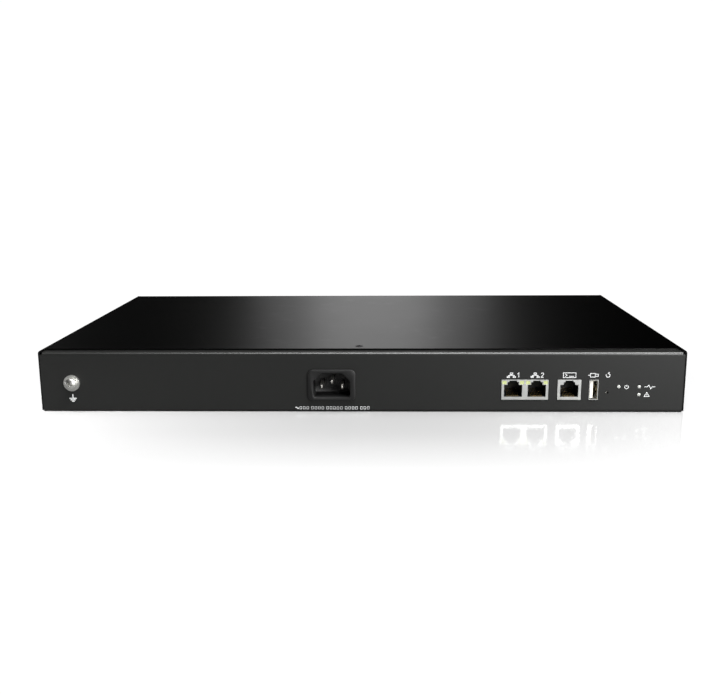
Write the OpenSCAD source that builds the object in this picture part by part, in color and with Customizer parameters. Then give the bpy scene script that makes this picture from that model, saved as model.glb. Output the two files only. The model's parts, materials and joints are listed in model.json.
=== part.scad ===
// Rack-mount firewall appliance, one rack unit high.
// Millimetres, +Z up. The port panel faces -Y, and X = 0 is the middle of the case.
// The origin is the bottom centre of the whole appliance, screw heads included.

/* [Case] */
// Width over the sides of the cover
case_w = 440; // [438:1:442]
// Depth from the port panel to the back of the cover
case_d = 250; // [248:1:256]
// Height from the floor to the top of the cover
case_h = 43; // [42.8:0.1:43.6]
// Thickness of the steel sheet in the pan and the cover
sheet = 1.2; // [1:0.1:1.2]
// Air between the pan's walls and the cover's sides
side_gap = 0.3; // [0.2:0.1:0.4]
// How far behind the port panel the cover's top edge starts
cover_setback = 7; // [5:0.5:9]
// Height of the lip that the cover turns down over the back panel
rear_lip_h = 11; // [10:0.5:14]

/* [Rack ears] */
// Distance between ear screws along the side
ear_pitch_y = 30; // [28:1:32]
// Distance between ear screws up the side
ear_pitch_z = 24; // [22:1:24]
// Radius of the tapped hole in each ear nut
ear_hole_r = 1.65; // [1.6:0.05:1.7]

/* [Ports] */
// Height of the main board's top face above the floor
board_top = 9; // [8.8:0.1:9.2]
// Middle of the pair of network jacks, across the panel
ethernet_x = 112.5; // [111:0.5:114]
// Distance between the two network jacks
jack_pitch = 15.95; // [15.9:0.05:16]
// Middle of the console jack, across the panel
console_x = 142.3; // [141.8:0.1:142.8]
// Middle of the USB socket, across the panel
usb_x = 158.6; // [158:0.1:159]
// Middle of the reset pinhole, across the panel
reset_x = 167.9; // [167.5:0.1:168.4]
// How far the reset button travels
reset_travel = 0.35; // [0.2:0.05:0.5]
// Middle of the power inlet, across the panel
inlet_x = -18.4; // [-21:0.1:-17]
// Height of the power inlet's middle above the floor
inlet_z = 19.1; // [18.8:0.1:19.6]
// Middle of the earth screw, across the panel
ground_x = -197.5; // [-199:0.5:-195]
// Height of the earth screw above the floor
ground_z = 20.3; // [20:0.1:21]

/* [Fans] */
// Side of each fan's square frame
fan_size = 40; // [39:0.5:40]
// Depth of each fan
fan_depth = 20; // [15:1:20]
// Distance between the two fans
fan_pitch = 66; // [60:1:72]
// Number of blades on each rotor
fan_blades = 7; // [5:1:9]

/* [Hidden] */
$fn = 40;

// Small distances
eps = 0.01;
touch_gap = 0.1;
fit_gap = 0.05;

// Where the case stands along Y: screw heads stand out at both ends, and the box around them is centred
ground_proud = 5;
rear_proud = 2;
front_y = (ground_proud - rear_proud - case_d) / 2;
rear_y = front_y + case_d;

// Pan
pan_x = case_w / 2 - sheet - side_gap;
pan_rear = rear_y - sheet - side_gap;
pan_h = case_h - sheet - touch_gap;
bend = 2.0;
flange_front = 24;
flange_rear = 12;
side_h = pan_h - sheet - 0.4;
corner_notch_x = pan_x - 1.5;
corner_notch_z = case_h - 3;
panel_in = front_y + sheet;

// Cover
cover_bend = 2.4;
cover_low = 0.8;
cover_front = front_y + cover_setback;
side_front = front_y + 1;
lip_x = case_w / 2 - cover_bend - 0.3;
lip_screws_x = [-150, 0, 150];
lip_screw_z = case_h - rear_lip_h + 4.5;
top_screw_y = front_y + 15;
m3_r = 1.45;
m3_hole_r = m3_r + fit_gap;
m4_r = 2.0;

// Side openings
fan_z = sheet + touch_gap + fan_size / 2;
fan_mid_y = 12;
fan_ys = [fan_mid_y - fan_pitch / 2, fan_mid_y + fan_pitch / 2];
fan_outer_x = -pan_x + sheet + 0.2;
fan_hole = 0.8 * fan_size / 2;
fan_bore_r = 0.475 * fan_size;
hub_r = 0.27 * fan_size;
grille_rings = [[4.5, 7], [9.3, 11.8], [14.1, 16.6]];
slot_w = 2.6;
slot_h = 12;
slot_pitch = 5;
side_slots = 22;
side_slot_zs = [13, 29];
rear_slot_groups = [-110, 0, 110];
rear_slots = 14;
rear_slot_z = 19;
ear_ys = [front_y + 14, front_y + 14 + ear_pitch_y];
ear_zs = [9.5, 9.5 + ear_pitch_z];
nut_r = 3.2;
nut_len = 3.5;

// Power inlet
flange_w = 32.4;
flange_h = 21.6;
flange_t = 1.9;
inlet_w = 27.4;
inlet_h = 19.8;
inlet_depth = 22;
snap_out = 0.9;
recess_w = 25;
recess_h = 17;
recess_depth = 16;
pin_pitch = 14;
pin_w = 2;
pin_h = 4;
earth_pin_up = 2.0;
live_pin_down = 1.5;
tab_w = 6.3;
tab_t = 0.8;
tab_len = 8;
inlet_back = panel_in + inlet_depth;
boot_y = inlet_back + 1.5;
boot_len = 14;
live_z = inlet_z - live_pin_down;
earth_pin_z = inlet_z + earth_pin_up;

// Jacks
jack_h = 13.9;
jack_depth = 21.5;
jack_y = front_y - 0.5;
shield_t = 0.3;
ethernet_w = 31.5;
console_w = 15.8;
cavity_w = 12.2;
cavity_floor = 2.0;
cavity_h = 8.4;
cavity_depth = 13;
led_window = [2.9, 2.4];
led_window_x = 5.9;
led_window_z = 12;
contact_count = 8;
contact_pitch = 1.02;
contact_t = 0.35;

// USB socket, standing on its edge
usb_w = 6.1;
usb_h = 13.7;
usb_depth = 17;
usb_wall = 0.35;
usb_tongue_t = 1.84;

// Reset switch
reset_z = board_top + 5.1;
reset_hole_r = 1;
reset_tip_y = panel_in + 1;
reset_stem_r = 1.5;
reset_body_y = reset_tip_y + 1.4;

// Indicators: one over the other beside the third
indicator_r = 1.15;
power_light = [175.5, board_top + 8.9];
status_light = [189.2, board_top + 8.9];
alarm_light = [189.2, board_top + 3.5];
lights = [power_light, status_light, alarm_light];

// Main board
board_t = 1.6;
board_x = [14, 210];
board_y = [front_y + 2, front_y + 186];
board_under = board_top - board_t;
board_holes = [for (x = [20, 204]) for (y = [front_y + 10, -30, 56]) [x, y]];
standoff_r = 3.2;
clinch_r = 2.9;
clinch_set = 0.1;
cpu_at = [112, -28];
cpu_size = [31, 31, 2.6];
sink_size = [60, 60];
sink_base = 3.5;
sink_h = 20;
sink_fins = 15;
sink_z = board_top + cpu_size[2];
sink_pins = [[cpu_at[0] - 25, cpu_at[1] + 25], [cpu_at[0] + 25, cpu_at[1] - 25]];
memory_at = [112, 34];
memory_size = [67.6, 30, 1];
memory_z = board_top + 4;
cell_at = [38, -88];
cell_r = 10;
cell_h = 3.2;
power_header_at = [25, 26];
fan_header_at = [[24, 2], [24, -12]];

// Power supply
psu_x = [-158, -84];
psu_y = [-62, 68];
psu_holes = [for (x = [psu_x[0] + 4.5, psu_x[1] - 4.5]) for (y = [psu_y[0] + 4.5, psu_y[1] - 4.5]) [x, y]];
psu_in_at = [-101, psu_y[0] + 8];
psu_out_at = [psu_x[1] - 7, psu_y[1] - 24];
header_w = 10;
earth_stud_at = [-50, -92];
earth_stud_h = 12;

// ---------- shapes used more than once ----------

// Stands a flat drawing up along Y: its x stays X, and its y becomes Z
module along_y(y, len) {
    translate([0, y + len, 0]) rotate([90, 0, 0]) linear_extrude(len) children();
}

// Stands a flat drawing up along X: its x becomes Y, and its y becomes Z
module along_x(x, len) {
    translate([x, 0, 0]) rotate([90, 0, 90]) linear_extrude(len) children();
}

// A block between two corners
module block(low, high) {
    translate(low) cube(high - low);
}

module rounded_rect(w, h, r) {
    square([w - 2 * r, h], center = true);
    square([w, h - 2 * r], center = true);
    for (x = [-1, 1], y = [-1, 1]) translate([x * (w / 2 - r), y * (h / 2 - r)]) circle(r);
}

// A slot standing upright, with round ends
module slot(w, h) {
    square([w, h - w], center = true);
    for (y = [-1, 1]) translate([0, y * (h - w) / 2]) circle(w / 2);
}

// A quarter of a ring in the first quadrant: the section of a bend in sheet
module bend_ring(r) {
    intersection() {
        difference() {
            circle(r);
            circle(r - sheet);
        }
        square(r);
    }
}

// Head above z = 0, shank below it, with a cross recess
module pan_screw(head_r, head_h, shank_r, shank_len, slot_len, slot_w) {
    dome_r = head_r * 1.5;
    difference() {
        intersection() {
            cylinder(r = head_r, h = head_h);
            translate([0, 0, head_h - dome_r]) sphere(dome_r);
        }
        for (a = [0, 90]) rotate(a)
            translate([-slot_len / 2, -slot_w / 2, head_h * 0.45]) cube([slot_len, slot_w, head_h]);
    }
    translate([0, 0, -shank_len]) cylinder(r = shank_r, h = shank_len + eps);
}

module m3_screw(len) {
    pan_screw(2.75, 1.9, m3_r, len, 3.2, 0.7);
}

// A ring standing on z = 0
module ring(outer_r, inner_r, h) {
    difference() {
        cylinder(r = outer_r, h = h);
        translate([0, 0, -1]) cylinder(r = inner_r, h = h + 2);
    }
}

// ---------- wires ----------

wire_sides = 8;
wire_steps = 3;
along = [1, 0, 0];
across = [0, 1, 0];
upward = [0, 0, 1];

function unit(v) = v / norm(v);

// The way a curve heads at each of its points; it starts and ends straight
function headings(p) = [
    for (i = [0 : len(p) - 1]) unit(p[min(i + 1, len(p) - 1)] - p[max(i - 1, 0)])
];

// A smooth curve through chosen points
function spline(p) = let (h = headings(p)) [
    for (i = [0 : len(p) - 2]) for (k = [0 : wire_steps - 1])
        let (t = k / wire_steps, s = norm(p[i + 1] - p[i]))
            p[i] * (2 * t ^ 3 - 3 * t ^ 2 + 1) + p[i + 1] * (3 * t ^ 2 - 2 * t ^ 3)
            + s * h[i] * (t ^ 3 - 2 * t ^ 2 + t) + s * h[i + 1] * (t ^ 3 - t ^ 2),
    p[len(p) - 1]
];

// Four points on an arc about c, in the plane of u and v, from angle a to angle b
function arc(c, r, u, v, a, b) = [
    for (t = [0 : 3]) let (q = a + t * (b - a) / 3) c + r * (cos(q) * u + sin(q) * v)
];

// The side direction at each ring, carried along so that the tube doesn't twist
function carried(t, i, n) = i == len(t) ? [] :
    let (m = unit(n - (n * t[i]) * t[i])) concat([m], carried(t, i + 1, m));

module tube(points, r) {
    c = spline(points);
    ends_t = headings(points);
    inner_t = headings(c);
    t = [for (i = [0 : len(c) - 1]) i == 0 ? ends_t[0] : i == len(c) - 1 ? ends_t[len(points) - 1] : inner_t[i]];
    n = carried(t, 0, abs(t[0][2]) < 0.8 ? upward : along);
    rings = [
        for (i = [0 : len(c) - 1]) for (k = [0 : wire_sides - 1])
            let (a = 360 * k / wire_sides) c[i] + r * (cos(a) * n[i] + sin(a) * cross(t[i], n[i]))
    ];
    sides = [
        for (i = [0 : len(c) - 2]) for (k = [0 : wire_sides - 1])
            let (a = i * wire_sides, j = (k + 1) % wire_sides)
                [a + k, a + k + wire_sides, a + j + wire_sides, a + j]
    ];
    last = (len(c) - 1) * wire_sides;
    ends = [[for (k = [0 : wire_sides - 1]) k], [for (k = [0 : wire_sides - 1]) last + wire_sides - 1 - k]];
    polyhedron(rings, concat(sides, ends));
}

// ---------- case ----------

module pan_section() {
    translate([front_y, bend]) square([sheet, pan_h - 2 * bend]);
    translate([pan_rear - sheet, bend]) square([sheet, pan_h - 2 * bend]);
    translate([front_y + bend, 0]) square([pan_rear - front_y - 2 * bend, sheet]);
    translate([front_y + bend, pan_h - sheet]) square([flange_front - bend, sheet]);
    translate([pan_rear - flange_rear, pan_h - sheet]) square([flange_rear - bend, sheet]);
    translate([front_y + bend, bend]) rotate(180) bend_ring(bend);
    translate([pan_rear - bend, bend]) rotate(270) bend_ring(bend);
    translate([front_y + bend, pan_h - bend]) rotate(90) bend_ring(bend);
    translate([pan_rear - bend, pan_h - bend]) bend_ring(bend);
}

// The rings and spokes in front of a fan, as the shape that is cut away
module grille_cut() {
    difference() {
        for (r = grille_rings) difference() {
            circle(r[1]);
            circle(r[0]);
        }
        for (a = [45, 135]) rotate(a) square([2 * fan_size, 2.2], center = true);
    }
}

module fan_openings(x) {
    for (y = fan_ys) along_x(x, 4 * sheet) translate([y, fan_z]) grille_cut();
}

module intake_slots(x) {
    for (z = side_slot_zs, i = [0 : side_slots - 1])
        along_x(x, 4 * sheet) translate([fan_mid_y + (i - (side_slots - 1) / 2) * slot_pitch, z]) slot(slot_w, slot_h);
}

module ear_holes(r) {
    for (s = [-1, 1], y = ear_ys, z = ear_zs)
        translate([s * (case_w / 2 + 1), y, z]) rotate([0, -s * 90, 0]) cylinder(r = r, h = 6);
}

module panel_hole(x, z, r) {
    translate([x, front_y - 1, z]) rotate([-90, 0, 0]) cylinder(r = r, h = sheet + 2);
}

module panel_window(x, z, w, h) {
    block([x - w / 2, front_y - 1, z], [x + w / 2, panel_in + 1, z + h]);
}

module base_pan() {
    color("#2b2c2b") difference() {
        union() {
            along_x(-pan_x, 2 * pan_x) pan_section();
            for (x = [-pan_x, pan_x - sheet])
                block([x, panel_in - eps, 0], [x + sheet, pan_rear - sheet + eps, side_h]);
        }
        for (s = [-1, 1])
            block([s == 1 ? corner_notch_x : -pan_x - 1, front_y - 1, corner_notch_z],
                [s == 1 ? pan_x + 1 : -corner_notch_x, pan_rear + 1, case_h]);
        fan_openings(-pan_x - sheet);
        intake_slots(pan_x - 3 * sheet);
        ear_holes(ear_hole_r);
        for (y = fan_ys, b = [-1, 1], z = [-1, 1])
            translate([-pan_x - 1, y + b * fan_hole, fan_z + z * fan_hole]) rotate([0, 90, 0])
                cylinder(r = m3_hole_r, h = 4);
        for (g = rear_slot_groups, i = [0 : rear_slots - 1])
            along_y(pan_rear - 2 * sheet, 3 * sheet)
                translate([g + (i - (rear_slots - 1) / 2) * slot_pitch, rear_slot_z]) slot(slot_w, slot_h);
        for (p = concat(board_holes, psu_holes, [earth_stud_at]))
            translate([p[0], p[1], -1]) cylinder(r = clinch_r + fit_gap, h = 4, $fn = 6);
        for (x = lip_screws_x)
            translate([x, pan_rear - sheet - 1, lip_screw_z]) rotate([-90, 0, 0]) cylinder(r = m3_hole_r, h = 4);
        translate([0, top_screw_y, pan_h - 3]) cylinder(r = m3_hole_r, h = 4);
        panel_hole(ground_x, ground_z, m4_r + fit_gap);
        panel_hole(reset_x, reset_z, reset_hole_r);
        for (p = lights) panel_hole(p[0], p[1], indicator_r + 0.1);
        along_y(front_y - 1, sheet + 2) translate([inlet_x, inlet_z]) rounded_rect(inlet_w + 0.4, inlet_h + 0.4, 2);
        panel_window(ethernet_x, board_top - 0.3, ethernet_w + 0.6, jack_h + 0.6);
        panel_window(console_x, board_top - 0.3, console_w + 0.6, jack_h + 0.6);
        panel_window(usb_x, board_top - 0.1, usb_w + 0.6, usb_h + 0.5);
    }
}

module cover_section() {
    translate([-(case_w / 2 - cover_bend), case_h - sheet]) square([case_w - 2 * cover_bend, sheet]);
    for (s = [0, 1]) mirror([s, 0]) {
        translate([case_w / 2 - cover_bend, case_h - cover_bend]) bend_ring(cover_bend);
        translate([case_w / 2 - sheet, cover_low]) square([sheet, case_h - cover_bend - cover_low]);
    }
}

module lip_section() {
    translate([rear_y - bend, case_h - bend]) bend_ring(bend);
    translate([rear_y - sheet, case_h - rear_lip_h]) square([sheet, rear_lip_h - bend]);
    translate([rear_y - bend - 1, case_h - sheet]) square([1 + eps, sheet]);
}

module top_cover() {
    color("#1c1c1c") difference() {
        union() {
            difference() {
                along_y(side_front, rear_y - side_front) cover_section();
                block([-corner_notch_x, front_y, pan_h], [corner_notch_x, cover_front, case_h + 1]);
                block([-lip_x - 0.3, rear_y - bend, pan_h - 1], [lip_x + 0.3, rear_y + 1, case_h + 1]);
            }
            along_x(-lip_x, 2 * lip_x) lip_section();
        }
        for (x = lip_screws_x) {
            translate([x, rear_y - 2 * sheet, lip_screw_z]) rotate([-90, 0, 0]) cylinder(r = m3_r + 0.25, h = 4);
            block([x - m3_r - 0.25, rear_y - 2 * sheet, case_h - rear_lip_h - 1],
                [x + m3_r + 0.25, rear_y + 1, lip_screw_z]);
        }
        translate([0, top_screw_y, case_h - 3]) cylinder(r = m3_r + 0.25, h = 4);
        translate([0, top_screw_y, case_h - 1]) cylinder(r1 = m3_r + 0.25, r2 = 2.9, h = 1 + eps);
        fan_openings(-case_w / 2 - 1);
        intake_slots(case_w / 2 - 2 * sheet);
        ear_holes(ear_hole_r + 0.6);
    }
}

module cover_front_screw() {
    color("#c9c9c6") translate([0, top_screw_y, case_h]) difference() {
        union() {
            translate([0, 0, -1 + fit_gap]) cylinder(r1 = m3_r, r2 = 2.75, h = 1);
            translate([0, 0, fit_gap - eps]) intersection() {
                cylinder(r = 2.75, h = 0.6);
                translate([0, 0, 0.6 - 6.6]) sphere(6.6);
            }
            translate([0, 0, -7]) cylinder(r = m3_r, h = 7);
        }
        for (a = [0, 90]) rotate(a) translate([-1.5, -0.35, -0.7]) cube([3, 0.7, 2]);
    }
}

module cover_rear_screws() {
    color("#3a3a3a") for (x = lip_screws_x)
        translate([x, rear_y + fit_gap, lip_screw_z]) rotate([-90, 0, 0]) m3_screw(7);
}

module press_nuts() {
    color("#b9bab8") {
        for (s = [-1, 1], y = ear_ys, z = ear_zs)
            translate([s * (pan_x - sheet), y, z]) rotate([0, -s * 90, 0]) ring(nut_r, ear_hole_r, nut_len);
        translate([ground_x, panel_in, ground_z]) rotate([-90, 0, 0]) ring(4, m4_r + fit_gap, 4);
    }
}

module standoffs() {
    color("#c4b27a") for (p = concat(board_holes, psu_holes)) translate([p[0], p[1], 0]) {
        translate([0, 0, sheet]) ring(standoff_r, m3_hole_r, board_under - sheet);
        translate([0, 0, clinch_set]) cylinder(r = clinch_r, h = sheet - clinch_set + eps, $fn = 6);
    }
}

module board_screws() {
    color("#c9c9c6") for (p = concat(board_holes, psu_holes))
        translate([p[0], p[1], board_top]) m3_screw(6);
}

// ---------- earth connection ----------

module ground_screw() {
    color("#d0d0cc") translate([ground_x, front_y - 2.1, ground_z]) rotate([90, 20, 0])
        pan_screw(3.7, ground_proud - 2.1, m4_r, 9, 4.4, 0.95);
}

module ground_spring_washer() {
    color("#bdbdb8") translate([ground_x, front_y - 1, ground_z]) rotate([90, 0, 0]) difference() {
        ring(3.9, m4_r + fit_gap, 1.1);
        rotate(35) translate([0, -0.35, -1]) cube([6, 0.7, 4]);
    }
}

module ground_flat_washer() {
    color("#c6c6c2") translate([ground_x, front_y, ground_z]) rotate([90, 0, 0]) ring(5.6, m4_r + fit_gap, 1);
}

module earth_stud() {
    color("#bdbdb8") translate([earth_stud_at[0], earth_stud_at[1], 0]) {
        translate([0, 0, clinch_set]) cylinder(r = clinch_r, h = sheet - clinch_set + eps, $fn = 6);
        translate([0, 0, sheet]) cylinder(r = 3.6, h = 0.8);
        translate([0, 0, sheet]) cylinder(r = m4_r, h = earth_stud_h);
    }
}

// A crimped ring terminal under a flanged hexagon nut
module earth_nut() {
    color("#c9c9c6") translate([earth_stud_at[0], earth_stud_at[1], sheet + 0.8 + 1.2]) difference() {
        union() {
            cylinder(r = 4.6, h = 0.8);
            cylinder(r = 3.9, h = 4, $fn = 6);
        }
        translate([0, 0, -1]) cylinder(r = m4_r + fit_gap, h = 8);
    }
    color("#c9a94f") translate([earth_stud_at[0], earth_stud_at[1], sheet + 0.8]) {
        difference() {
            union() {
                cylinder(r = 4.2, h = 1.1);
                translate([0, -1.6, 0]) cube([7, 3.2, 1.1]);
            }
            translate([0, 0, -1]) cylinder(r = m4_r + fit_gap, h = 4);
        }
        translate([6.5, 0, 1.9]) rotate([0, 90, 0]) ring(1.9, 1.3, 6);
    }
}

module recess_outline() {
    w = recess_w / 2;
    h = recess_h / 2;
    polygon([[-w + 1, -h], [w - 1, -h], [w, -h + 1], [w, h - 5.5], [w - 5.5, h], [-w + 5.5, h], [-w, h - 5.5],
        [-w, -h + 1]]);
}

pins = [[-pin_pitch / 2, -live_pin_down], [pin_pitch / 2, -live_pin_down], [0, earth_pin_up]];

module pin_sections() {
    for (p = pins) translate(p) square([pin_w, pin_h], center = true);
}

module inlet_body() {
    color("#161616") translate([inlet_x, 0, inlet_z]) difference() {
        union() {
            along_y(front_y - flange_t, flange_t) rounded_rect(flange_w, flange_h, 3.6);
            along_y(front_y - eps, inlet_back - front_y + eps) rounded_rect(inlet_w, inlet_h, 1.8);
            for (s = [-1, 1]) translate([s * inlet_w / 2, 0, 0])
                block([-snap_out, panel_in + fit_gap, -5], [snap_out, panel_in + 5, 5]);
        }
        along_y(front_y - flange_t - 1, recess_depth + 1) recess_outline();
        along_y(front_y - flange_t - 1, 60) pin_sections();
    }
}

module inlet_pins() {
    color("#c9c9c6") translate([inlet_x, 0, inlet_z]) {
        along_y(front_y + 0.5, inlet_back - front_y - 0.5 + eps) pin_sections();
        for (p = pins) block([p[0] - tab_t / 2, inlet_back, p[1] - tab_w / 2],
            [p[0] + tab_t / 2, inlet_back + tab_len, p[1] + tab_w / 2]);
    }
}

module inlet_boots() {
    color("#a33b30") for (p = pins) difference() {
        along_y(boot_y, boot_len) translate([inlet_x + p[0], inlet_z + p[1]]) rounded_rect(4.4, 8.6, 1.5);
        block([inlet_x + p[0] - tab_t / 2, boot_y - 1, inlet_z + p[1] - tab_w / 2],
            [inlet_x + p[0] + tab_t / 2, inlet_back + tab_len, inlet_z + p[1] + tab_w / 2]);
    }
}

wire_start_y = boot_y + boot_len;
live_xs = [inlet_x - pin_pitch / 2, inlet_x + pin_pitch / 2];
mains_r = 1.3;

module mains_wires() {
    color("#6b3f22") {
        tube([[live_xs[0], wire_start_y, live_z], [live_xs[0], wire_start_y + 5, live_z],
            [-30, -72, 13], [-42, -67, 6], [-58, -67, 4], [-78, -70, 4], [-92, -74, 7],
            [psu_in_at[0] + 2, -72, 14], [psu_in_at[0] + 2, -65, 17], [psu_in_at[0] + 2, psu_in_at[1] - 4.5, 17]], mains_r);
        tube([[live_xs[1], wire_start_y, live_z], [live_xs[1], wire_start_y + 6, live_z],
            [-17, -68, 12], [-32, -61, 5], [-52, -62.5, 4], [-74, -65.5, 4], [-90, -69.5, 4],
            [-101, -75, 7], [psu_in_at[0] - 6, -73, 14], [psu_in_at[0] - 6, -65, 17],
            [psu_in_at[0] - 6, psu_in_at[1] - 4.5, 17]], mains_r);
    }
}

module earth_wire() {
    color("#5f8f2f") tube([[inlet_x, wire_start_y, earth_pin_z], [inlet_x, wire_start_y + 4, earth_pin_z],
        [inlet_x, wire_start_y + 9, 18], [inlet_x - 3, wire_start_y + 9, 11], [-26, -82, 5],
        [-30, -89, 3.9], [-34, earth_stud_at[1], 3.9], [earth_stud_at[0] + 12.5, earth_stud_at[1], 3.9]], 1.2);
}

// ---------- jacks ----------

// One jack's opening, seen from the front, with z = 0 at the bottom of the shell
module jack_opening() {
    translate([-cavity_w / 2, cavity_floor]) square([cavity_w, cavity_h]);
    translate([-3.8, cavity_floor]) square([7.6, cavity_h + 1.9]);
    translate([-2.6, cavity_floor]) square([5.2, cavity_h + 2.9]);
}

module led_windows(grow) {
    for (s = [-1, 1]) translate([s * led_window_x, led_window_z])
        square([led_window[0] + grow, led_window[1] + grow], center = true);
}

module jack_shield(w, xs, windows) {
    color("#c4c6c3") translate([0, 0, board_top]) difference() {
        block([-w / 2, jack_y, 0], [w / 2, jack_y + jack_depth, jack_h]);
        block([-w / 2 + shield_t, jack_y + shield_t, -1],
            [w / 2 - shield_t, jack_y + jack_depth - shield_t, jack_h - shield_t]);
        for (x = xs) along_y(jack_y - 1, 2) translate([x, 0]) {
            jack_opening();
            if (windows) led_windows(0);
        }
    }
}

module jack_housing(w, xs, windows) {
    color("#101010") translate([0, 0, board_top]) difference() {
        block([-w / 2 + shield_t, jack_y + shield_t, 0],
            [w / 2 - shield_t, jack_y + jack_depth - shield_t, jack_h - shield_t]);
        for (x = xs) along_y(jack_y - 1, cavity_depth + 1) translate([x, 0]) {
            jack_opening();
            if (windows) led_windows(0.3);
        }
    }
}

// Eight sprung wires rising from the floor of a jack towards its back
module jack_contacts(x) {
    for (i = [0 : contact_count - 1])
        along_x(x + (i - (contact_count - 1) / 2) * contact_pitch - contact_t / 2, contact_t)
            translate([jack_y, board_top + cavity_floor])
                polygon([[1.5, 0], [3, 0], [cavity_depth - 1.6, 2.6], [cavity_depth, 2.6], [cavity_depth, 3],
                    [cavity_depth - 1.7, 3], [2.9, 0.4], [1.5, 0.4]]);
}

ethernet_xs = [-jack_pitch / 2, jack_pitch / 2];

module ethernet_shield() {
    translate([ethernet_x, 0, 0]) jack_shield(ethernet_w, ethernet_xs, true);
}

module ethernet_housing() {
    translate([ethernet_x, 0, 0]) jack_housing(ethernet_w, ethernet_xs, true);
}

module ethernet_contacts() {
    color("#c8a24a") for (x = ethernet_xs) jack_contacts(ethernet_x + x);
}

module ethernet_leds() {
    color("#d4dba8") for (x = ethernet_xs)
        along_y(jack_y + 0.1, cavity_depth - 0.1) translate([ethernet_x + x, board_top]) led_windows(0);
}

module console_shield() {
    translate([console_x, 0, 0]) jack_shield(console_w, [0], false);
}

module console_housing() {
    translate([console_x, 0, 0]) jack_housing(console_w, [0], false);
}

module console_contacts() {
    color("#c8a24a") jack_contacts(console_x);
}

// ---------- USB socket ----------

usb_y = front_y - 0.6;

module usb_shell() {
    color("#c4c6c3") translate([usb_x, 0, board_top + 0.1]) difference() {
        block([-usb_w / 2, usb_y, 0], [usb_w / 2, usb_y + usb_depth, usb_h]);
        block([-usb_w / 2 + usb_wall, usb_y - 1, usb_wall],
            [usb_w / 2 - usb_wall, usb_y + usb_depth - usb_wall, usb_h - usb_wall]);
        for (z = [0.3, 0.7], s = [-1, 1]) block([s * usb_w / 2 - 1, usb_y + 4, z * usb_h - 0.9],
            [s * usb_w / 2 + 1, usb_y + 9, z * usb_h + 0.9]);
    }
}

tongue_x = usb_x - usb_w / 2 + usb_wall + 0.5;

module usb_tongue() {
    color("#e9e9e2") {
        block([tongue_x, usb_y + 0.8, board_top + 1.2],
            [tongue_x + usb_tongue_t, usb_y + usb_depth - usb_wall - 2.5, board_top + usb_h - 1]);
        block([usb_x - usb_w / 2 + usb_wall, usb_y + usb_depth - usb_wall - 2.5, board_top + 0.1 + usb_wall],
            [usb_x + usb_w / 2 - usb_wall, usb_y + usb_depth - usb_wall, board_top + 0.1 + usb_h - usb_wall]);
    }
}

module usb_contacts() {
    color("#c8a24a") for (z = [-3.5, -1, 1, 3.5])
        block([tongue_x + usb_tongue_t, usb_y + 1.6, board_top + 0.1 + usb_h / 2 + z - 0.5],
            [tongue_x + usb_tongue_t + 0.25, usb_y + usb_depth - usb_wall - 2.5, board_top + 0.1 + usb_h / 2 + z + 0.5]);
}

// ---------- reset switch and indicators ----------

module reset_switch() {
    color("#1a1a1a") difference() {
        block([reset_x - 3, reset_body_y, board_top], [reset_x + 3, reset_body_y + 6, board_top + 8.4]);
        translate([reset_x, reset_body_y - 1, reset_z]) rotate([-90, 0, 0])
            cylinder(r = reset_stem_r + fit_gap, h = 4);
    }
}

module reset_button() {
    color("#e2e2dc") translate([reset_x, reset_tip_y, reset_z]) rotate([-90, 0, 0]) {
        cylinder(r = reset_stem_r, h = reset_body_y + 2.9 - reset_travel - reset_tip_y);
    }
}

module indicator_pipes() {
    color("#dfe3dc") for (p = lights) translate([p[0], front_y - 0.2, p[1]]) rotate([-90, 0, 0])
        cylinder(r = indicator_r, h = 6.2);
}

module indicator_holders() {
    color("#1a1a1a") {
        block([power_light[0] - 2.2, front_y + 6, board_top], [power_light[0] + 2.2, front_y + 12, board_top + 11.6]);
        block([status_light[0] - 2.2, front_y + 6, board_top], [status_light[0] + 2.2, front_y + 12, board_top + 11.6]);
    }
}

// ---------- main board ----------

module pcb(xs, ys, holes) {
    difference() {
        block([xs[0], ys[0], board_under], [xs[1], ys[1], board_top]);
        for (p = holes) translate([p[0], p[1], board_under - 1]) cylinder(r = m3_r + 0.15, h = board_t + 2);
    }
}

module main_board() {
    color("#1f5a3a") difference() {
        pcb(board_x, board_y, board_holes);
        for (p = sink_pins) translate([p[0], p[1], board_under - 1]) cylinder(r = 1.6, h = board_t + 2);
    }
}

module processor() {
    color("#3b3f42") translate([cpu_at[0], cpu_at[1], board_top]) {
        translate([-cpu_size[0] / 2, -cpu_size[1] / 2, 0]) cube([cpu_size[0], cpu_size[1], 1.4]);
        translate([-10, -10, 1.4 - eps]) cube([20, 20, cpu_size[2] - 1.4 + eps]);
    }
}

module processor_heatsink() {
    fin_step = (sink_size[1] - 1.2) / (sink_fins - 1);
    color("#9ba0a3") translate([cpu_at[0], cpu_at[1], sink_z]) difference() {
        union() {
            translate([-sink_size[0] / 2, -sink_size[1] / 2, 0]) cube([sink_size[0], sink_size[1], sink_base]);
            for (i = [0 : sink_fins - 1])
                translate([-sink_size[0] / 2, -sink_size[1] / 2 + i * fin_step, sink_base - eps])
                    cube([sink_size[0], 1.2, sink_h - sink_base]);
        }
        for (s = [-1, 1]) translate([s * 25, -s * 25, -1]) {
            cylinder(r = 1.6, h = sink_h + 2);
            translate([0, 0, sink_base + 1]) cylinder(r = 4.2, h = sink_h);
        }
    }
}

// Spring clips that hold the heatsink down on the board
module heatsink_pins() {
    color("#d8d8d2") for (p = sink_pins) translate([p[0], p[1], 0]) {
        translate([0, 0, board_under - 1.5]) cylinder(r = 1.5, h = sink_z + sink_base + 6 - board_under + 1.5);
        translate([0, 0, sink_z + sink_base + 5]) cylinder(r = 3.2, h = 1.6);
        for (i = [0 : 3]) translate([0, 0, sink_z + sink_base + 0.1 + i * 1.25]) ring(2.8, 1.5 - eps, 0.6);
    }
}

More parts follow.
